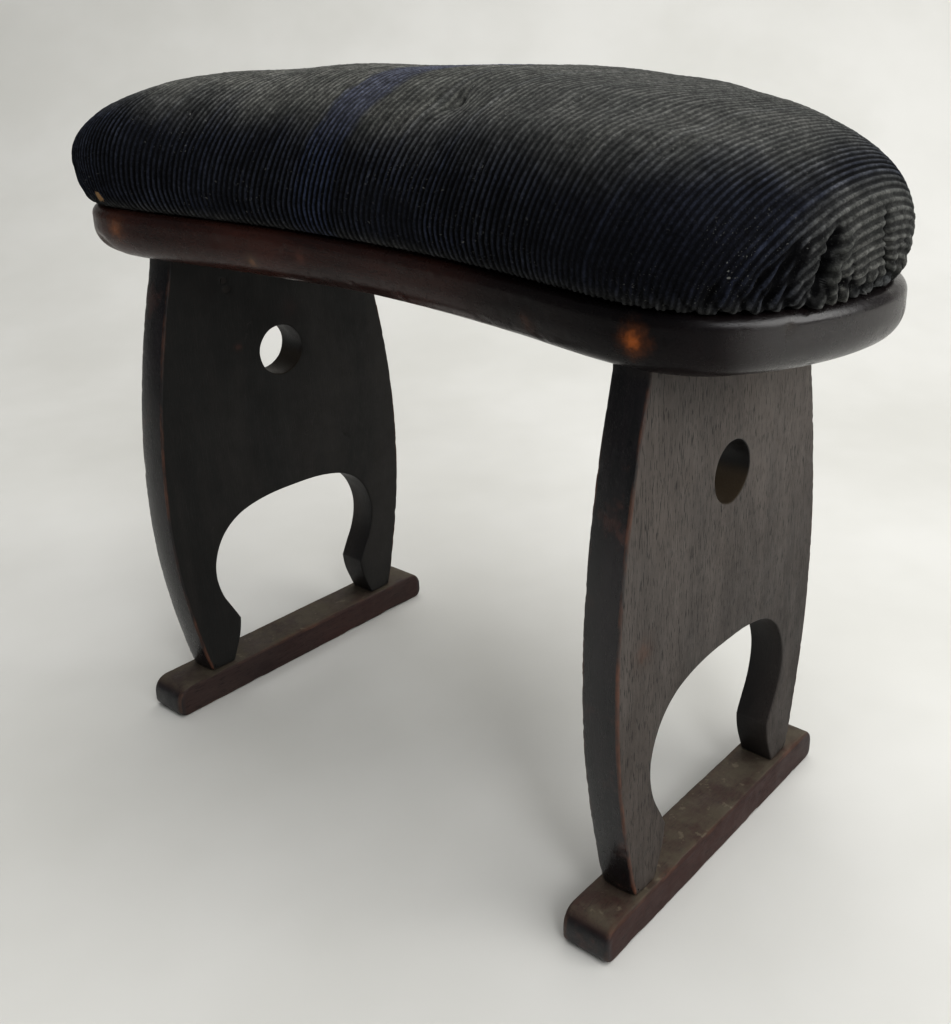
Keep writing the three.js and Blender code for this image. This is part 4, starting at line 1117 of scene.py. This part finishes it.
def corduroy(name):
    m, nt, bsdf = nodes_of(name)
    N = NT(nt)
    plain = N.coords((1, 1, 1))
    rib, run, hem, crest, wale = N.attr("rib"), N.attr("run"), N.attr("hem"), N.attr("crest"), N.attr("wale")
    crease, flat = N.attr("crease"), N.attr("flat")
    geo = nt.nodes.new("ShaderNodeNewGeometry")
    sep = nt.nodes.new("ShaderNodeSeparateXYZ")
    nt.links.new(geo.outputs["Normal"], sep.inputs[0])
    pos = nt.nodes.new("ShaderNodeTexCoord")
    ps = nt.nodes.new("ShaderNodeSeparateXYZ")
    nt.links.new(pos.outputs["Object"], ps.inputs[0])
    white = nt.nodes.new("ShaderNodeTexWhiteNoise")
    white.noise_dimensions = "1D"
    nt.links.new(wale, white.inputs["W"])
    per_wale = white.outputs["Value"]
    big = N.noise(plain, 13, 5, 0.62)
    mid = N.noise(plain, 45, 5, 0.7)
    # height on the cushion sets the tone, olive-grey above and blue-black below: partly real fading of the pile, partly
    # painted sheen and light on the top
    zz = N.math("ADD", ps.outputs["Z"], N.math("MULTIPLY", N.math("SUBTRACT", big, 0.5), 0.045))
    top = N.ramp(zz, 0.346, 0.376)
    # painted light and fading: the right end is paler too
    end_fade_and_light = N.math("MULTIPLY", N.ramp(N.math("ADD", ps.outputs["X"], N.math("MULTIPLY", N.math("SUBTRACT", mid, 0.5), 0.014)), 0.226, 0.241), 0.80)
    fade_and_sheen = N.math("MAXIMUM", top, end_fade_and_light)
    # paler within 13 mm of the hem
    fade_and_sheen = N.math("MULTIPLY_ADD", N.math("MULTIPLY", N.ramp(hem, 13, 3), 0.55), N.math("SUBTRACT", 1.0, fade_and_sheen), fade_and_sheen, clamp=True)
    low_c = N.mix(N.ramp(mid, 0.35, 0.65), (0.0110, 0.0128, 0.0190), (0.0235, 0.0270, 0.0390))
    low_c = N.mix(N.math("MULTIPLY", N.ramp(big, 0.5, 0.72), 0.55), low_c, (0.0150, 0.0185, 0.0400))
    top_fade_sheen_c = N.mix(N.ramp(mid, 0.35, 0.65), (0.064, 0.065, 0.058), (0.108, 0.107, 0.096))
    col = N.mix(fade_and_sheen, low_c, top_fade_sheen_c)
    low_c = N.mix(N.math("MULTIPLY", flat, 0.85), low_c, (0.0045, 0.0050, 0.0085))
    # the top colour is darker between x = 20 and 235 mm
    col = N.mix(fade_and_sheen, low_c, N.mix(N.math("MULTIPLY", N.math("SUBTRACT", N.ramp(ps.outputs["X"], 0.02, 0.12), N.ramp(ps.outputs["X"], 0.20, 0.235)), 0.5), top_fade_sheen_c, (0.045, 0.046, 0.044)))
    ribn = N.math("ADD", rib, N.math("MULTIPLY", N.math("SUBTRACT", N.noise(plain, 60, 4, 0.7), 0.5), 14.0))
    band = N.math("MULTIPLY", N.ramp(ribn, -40, -34), N.ramp(ribn, -8, -14))
    side_bands = N.math("MULTIPLY", N.ramp(per_wale, 0.86, 0.93), 0.22)
    thick = N.math("MAXIMUM", band, N.math("MULTIPLY", side_bands, N.math("SUBTRACT", 1.0, N.math("MULTIPLY", top, 0.5))))
    navy = N.mix(fade_and_sheen, (0.0240, 0.0310, 0.0560), (0.050, 0.055, 0.082))
    col = N.mix(N.math("MULTIPLY", thick, 0.85), col, navy)
    # each wale a shade of its own, streaked along its length
    tone = N.math("MULTIPLY", N.math("MULTIPLY_ADD", per_wale, 0.4, 0.8), N.math("MULTIPLY_ADD", N.ramp(N.noise(plain, 620, 3, 0.7), 0.32, 0.68), 0.8, 0.6))
    streak = N.math("MULTIPLY_ADD", N.ramp(N.noise(plain, 160, 4, 0.7), 0.3, 0.7), 0.7, 0.65)
    tone = N.math("MULTIPLY", tone, streak)
    hs = nt.nodes.new("ShaderNodeHueSaturation")
    N.put(hs.inputs["Color"], col); N.put(hs.inputs["Value"], tone)
    col = hs.outputs["Color"]
    # painted shade in the furrows, with paler worn crests; less contrast on the top and the right end, where the
    # painted sheen is
    furrow_shade_col = N.mix(fade_and_sheen, (0.0012, 0.0013, 0.0018), (0.0075, 0.0075, 0.0075))
    depth = N.math("SUBTRACT", 1.0, N.ramp(N.math("ADD", crest, N.math("MULTIPLY", N.math("SUBTRACT", N.noise(plain, 900, 3, 0.7), 0.5), 0.7)), 0.36, 0.98))
    depth = N.math("MULTIPLY", depth, N.math("MULTIPLY", N.math("MULTIPLY_ADD", flat, -0.35, 1.0), N.math("MULTIPLY_ADD", N.math("MAXIMUM", top, end_fade_and_light), -0.42, 1.0)))
    col = N.mix(depth, col, furrow_shade_col)
    # painted shade in the folds, puckers and the dimple
    col = N.mix(N.math("MULTIPLY", N.ramp(crease, 0.06, 0.5), 0.95), col, (0.0012, 0.0012, 0.0016))
    # lint and dust caught in the pile
    fuzz = N.noise(plain, 1100, 3, 0.7)
    col = N.mix(N.math("MULTIPLY", N.ramp(fuzz, 0.56, 0.80), N.math("MULTIPLY_ADD", fade_and_sheen, 0.20, 0.06)), col, (0.12, 0.12, 0.11))
    cluster = N.ramp(N.noise(plain, 26, 3, 0.6), 0.40, 0.66)
    for vec, scale, lo, hi, bright in ((plain, 620, 0.84, 0.875, 0.14), (N.coords((1, 0.35, 1)), 760, 0.83, 0.87, 0.12), (N.coords((0.3, 1, 1)), 820, 0.83, 0.87, 0.16),
                                       (plain, 1500, 0.75, 0.82, 0.10)):
        n_ = N.noise(vec, scale, 0.0, 0.5, 0.6)
        lint = N.math("MULTIPLY", N.ramp(n_, lo, hi), N.math("MULTIPLY_ADD", cluster, 0.9, 0.1))
        col = N.mix(lint, col, (bright, bright, bright * 0.95))
    # a beige bit caught under the left corner and a red speck on the ridge
    for (x, y, z, r, c) in ((-178.3, -89.7, 314.9, 3.6, (0.30, 0.19, 0.10)), (-61.0, 10.0, 389.5, 2.2, (0.30, 0.06, 0.05))):
        vd = nt.nodes.new("ShaderNodeVectorMath"); vd.operation = "DISTANCE"
        nt.links.new(pos.outputs["Object"], vd.inputs[0])
        vd.inputs[1].default_value = (x * MM, (y + SHIFT_Y) * MM, z * MM)
        wob = N.math("ADD", vd.outputs["Value"], N.math("MULTIPLY", N.math("SUBTRACT", N.noise(plain, 700, 3, 0.7), 0.5), 0.006))
        col = N.mix(N.ramp(wob, r * MM, r * MM * 0.7), col, c)
    nt.links.new(col, bsdf.inputs["Base Color"])
    bsdf.inputs["Roughness"].default_value = 0.97
    bsdf.inputs["Specular IOR Level"].default_value = 0.06
    nt.links.new(N.math("MULTIPLY_ADD", fade_and_sheen, 0.035, 0.012), bsdf.inputs["Sheen Weight"])
    bsdf.inputs["Sheen Roughness"].default_value = 0.5
    bsdf.inputs["Sheen Tint"].default_value = (0.85, 0.87, 0.9, 1)
    b = N.bump(fuzz, 0.9, 0.0006)
    b = N.bump(N.noise(plain, 2600, 2, 0.6), 0.5, 0.00015, b)
    nt.links.new(b, bsdf.inputs["Normal"])
    return m


def metal(name, col, rough, rust):
    m, nt, bsdf = nodes_of(name)
    N = NT(nt)
    plain = N.coords((1, 1, 1))
    n1 = N.noise(plain, 500, 5, 0.7)
    n2 = N.noise(plain, 1800, 3, 0.6)
    c = N.mix(N.ramp(n1, 0.46, 0.64), col, rust)
    c = N.mix(N.math("MULTIPLY", N.ramp(n2, 0.5, 0.75), 0.4), c, tuple(x * 0.4 for x in col))
    nt.links.new(c, bsdf.inputs["Base Color"])
    nt.links.new(N.math("MULTIPLY_ADD", N.ramp(n1, 0.5, 0.64), -0.6, 0.9), bsdf.inputs["Metallic"])
    nt.links.new(N.math("MULTIPLY_ADD", n1, 0.35, rough), bsdf.inputs["Roughness"])
    nt.links.new(N.bump(n1, 0.3, 0.0002), bsdf.inputs["Normal"])
    return m


def fibre(name, col, col2, fleck):
    m, nt, bsdf = nodes_of(name)
    N = NT(nt)
    plain = N.coords((1, 1, 1))
    n1 = N.noise(plain, 300, 6, 0.78, 1.5)
    n2 = N.noise(N.coords((1, 0.25, 1)), 900, 4, 0.7, 2.0)
    c = N.mix(N.ramp(n1, 0.3, 0.7), col, col2)
    c = N.mix(N.math("MULTIPLY", N.ramp(n2, 0.6, 0.7), 0.7), c, fleck)
    nt.links.new(c, bsdf.inputs["Base Color"])
    nt.links.new(N.math("MULTIPLY_ADD", n1, 0.1, 0.88), bsdf.inputs["Roughness"])
    bsdf.inputs["Sheen Weight"].default_value = 0.2
    nt.links.new(N.bump(N.math("ADD", n1, n2), 0.9, 0.0008), bsdf.inputs["Normal"])
    return m


ORANGE = srgb(158, 88, 40)
mat_seat = wood("seat_wood", 0, srgb(29, 18, 17), srgb(54, 29, 24), srgb(76, 40, 30), srgb(90, 54, 38), rough=(0.20, 0.34), warm_amount=0.6, worn_amount=0.35, pores=0.35,
                spots=((179.6, -87.9, 296.3, 10, ORANGE, 0.9), (-168.6, -88.1, 298.5, 12, srgb(128, 78, 46), 0.8), (-72.4, -72.6, 290.8, 6, srgb(120, 84, 56), 0.6),
                       (-37.5, -69.7, 297, 8, srgb(86, 52, 42), 0.6), (120, -79.0, 292, 9, srgb(84, 50, 36), 0.5)),
                along_x=(0.03, 0.13, srgb(13, 13, 15)))
EDGE = (srgb(8, 9, 12), srgb(28, 24, 27), srgb(66, 43, 38))
mat_leg = wood("end_board_wood", 2, srgb(55, 50, 47), srgb(76, 70, 66), srgb(78, 67, 59), srgb(108, 66, 45), edge_col=EDGE, rough=(0.50, 0.66), edge_rough=0.24, warm_amount=0.35,
               worn_amount=0.72, pores=0.85,
               spots=((-154.4, -35.4, 262.8, 2.3, srgb(7, 7, 7), 0.85), (-154.4, -33.6, 257.2, 2.3, srgb(7, 7, 7), 0.85), (-154.4, 44, 143.5, 2.2, srgb(8, 8, 8), 0.8),
                      (-154.4, -30.3, 221.5, 5, srgb(74, 46, 38), 0.5), (-154.4, 10.0, 238.0, 15, srgb(44, 30, 28), 0.5), (174.4, -70.0, 150.0, 14, srgb(84, 60, 48), 0.35)),
               inner_shade_col=(srgb(19, 19, 18), srgb(33, 31, 29)))
mat_foot = wood("foot_wood", 1, srgb(37, 25, 24), srgb(55, 42, 39), srgb(62, 38, 33), srgb(104, 74, 58), edge_col=EDGE, rough=(0.45, 0.66), edge_rough=0.32, warm_amount=0.55,
                worn_amount=0.5, pores=0.6, dust=0.85, dust_col=srgb(80, 74, 62))
mat_cord = corduroy("corduroy_cloth")
mat_steel = metal("aged_steel", (0.25, 0.24, 0.22), 0.25, (0.09, 0.04, 0.022))
mat_tack = metal("blued_tack", (0.06, 0.06, 0.068), 0.3, (0.07, 0.035, 0.02))
mat_flock = fibre("flock_fill", srgb(150, 138, 112), srgb(110, 98, 76), srgb(70, 66, 78))
mat_felt = fibre("felt_sheet", srgb(172, 160, 135), srgb(140, 128, 104), srgb(96, 84, 66))
mat_plug = wood("stopping", 2, srgb(34, 31, 29), srgb(50, 45, 42), srgb(54, 45, 40), srgb(70, 56, 46), rough=(0.6, 0.75), pores=0.3)

# ---------------------------------------------------------------- assemble
placed = []
seat = build_seat(); seat.data.materials.append(mat_seat)
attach(seat, "root"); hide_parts("seat_board")
for side in ("left", "right"):
    leg = build_leg(side); leg.data.materials.append(mat_leg)
    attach(leg, "root"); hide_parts(f"end_board_{side}")
    foot = build_foot(side); foot.data.materials.append(mat_foot)
    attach(foot, "root"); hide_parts(f"foot_{side}")
cushion, filling = finish_cushion()
cushion.data.materials.append(mat_cord); filling.data.materials.append(mat_flock)
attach(cushion, "root"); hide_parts("cushion_cover")
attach(filling, "root"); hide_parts("cushion_stuffing")

for name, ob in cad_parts.items():
    if name.startswith(("seat_screw", "foot_screw")):
        use = mat_steel
    elif name.startswith("cover_tack"):
        use = mat_tack
    elif name.startswith("screw_plug"):
        use = mat_plug
    elif name == "cushion_wadding":
        use = mat_felt
    else:
        continue
    ob.data.materials.clear()
    ob.data.materials.append(use)

# ------------------------------------------------------------------- staging
def stage_floor():
    """A pale floor that sweeps up into a pale wall behind."""
    prof = [(-2.2, 0.0), (0.55, 0.0)]
    R = 0.9
    for i in range(1, 17):
        a = i / 16 * math.radians(74)
        prof.append((0.55 + R * math.sin(a), R * (1 - math.cos(a))))
    prof.append((prof[-1][0] + 3.4 * math.cos(math.radians(74)), prof[-1][1] + 3.4 * math.sin(math.radians(74))))
    co, faces = [], []
    for y, z in prof:
        co += [(-8.0, y, z), (3.2, y, z)]
    for i in range(len(prof) - 1):
        a = 2 * i
        faces.append((a, a + 1, a + 3, a + 2))
    me = bpy.data.meshes.new("floor_sweep")
    me.from_pydata(co, [], faces)
    me.polygons.foreach_set("use_smooth", np.ones(len(me.polygons), bool))
    ob = bpy.data.objects.new("floor_sweep", me)
    bpy.context.scene.collection.objects.link(ob)
    ob.rotation_euler = (0, 0, 0.6086)
    m, nt, bsdf = nodes_of("paper")
    N = NT(nt)
    plain = N.coords((1, 1, 1))
    c = N.mix(N.ramp(N.noise(plain, 3, 4, 0.6), 0.3, 0.7), srgb(187, 186, 181), srgb(196, 195, 191))
    nt.links.new(c, bsdf.inputs["Base Color"])
    bsdf.inputs["Roughness"].default_value = 0.85
    me.materials.append(m)
    return ob


stage_floor()


def area_light(name, loc, target, size, power, col=(1, 1, 1)):
    l = bpy.data.lights.new(name, "AREA")
    l.shape = "RECTANGLE"
    l.size, l.size_y = size
    l.energy = power
    l.color = col
    o = bpy.data.objects.new(name, l)
    bpy.context.scene.collection.objects.link(o)
    o.location = loc
    o.rotation_euler = (Vector(target) - Vector(loc)).to_track_quat("-Z", "Y").to_euler()
    return o


area_light("key", (2.2, 0.35, 1.15), (0, 0, 0.2), (2.2, 1.5), 34, (1.0, 0.995, 0.98))
area_light("top", (0.15, 0.45, 2.4), (0, 0.1, 0.1), (3.2, 2.6), 82, (1, 1, 1))
area_light("window", (1.55, -0.85, 1.35), (0.1, 0, 0.27), (0.45, 0.9), 15, (0.97, 0.985, 1))
world = bpy.data.worlds.new("studio")
bpy.context.scene.world = world
world.use_nodes = True
bg = world.node_tree.nodes["Background"]
bg.inputs[0].default_value = (0.93, 0.95, 0.97, 1)
bg.inputs[1].default_value = 0.13

# ------------------------------------------------------------------- camera
cam = bpy.data.cameras.new("camera")
cam_ob = bpy.data.objects.new("camera", cam)
bpy.context.scene.collection.objects.link(cam_ob)
CAM = (0.422637, -0.422464 + SHIFT_Y * MM, 0.412346)
cam_ob.location = CAM
cam_ob.rotation_mode = "XYZ"
cam_ob.rotation_euler = (1.2311526, -0.0192647, 0.6086665)
cam.sensor_fit = "AUTO"
cam.sensor_width = 36.0
cam.lens = 1128.552 / 1024 * 36.0
cam.clip_start, cam.clip_end = 0.01, 50
bpy.context.scene.camera = cam_ob
SHIFT = (-184.348 / 1024, -95.361 / 1024)


stand = bpy.data.objects.new("viewpoint", None)      # marks the spot that the lens shift belongs to
bpy.context.scene.collection.objects.link(stand)
stand.location = CAM


def shift_here(prop, value):
    """The lens shift belongs to this one viewpoint: it falls to zero when the camera stands anywhere else."""
    fc = cam.driver_add(prop)
    for md in list(fc.modifiers):
        fc.modifiers.remove(md)
    fc.driver.type = "SUM"
    v = fc.driver.variables.new()
    v.type = "LOC_DIFF"
    v.targets[0].id, v.targets[1].id = cam_ob, stand
    for x, y in ((0.0, value), (0.03, value), (0.06, 0.0), (0.1, 0.0)):
        fc.keyframe_points.insert(x, y, options={"FAST"}).interpolation = "LINEAR"
    fc.extrapolation = "CONSTANT"
    fc.update()


shift_here("shift_x", SHIFT[0])
shift_here("shift_y", SHIFT[1])
sc = bpy.context.scene
sc.view_settings.view_transform = "Standard"
sc.view_settings.look = "None"
sc.view_settings.gamma = 0.88
sc.view_settings.exposure = 0.08
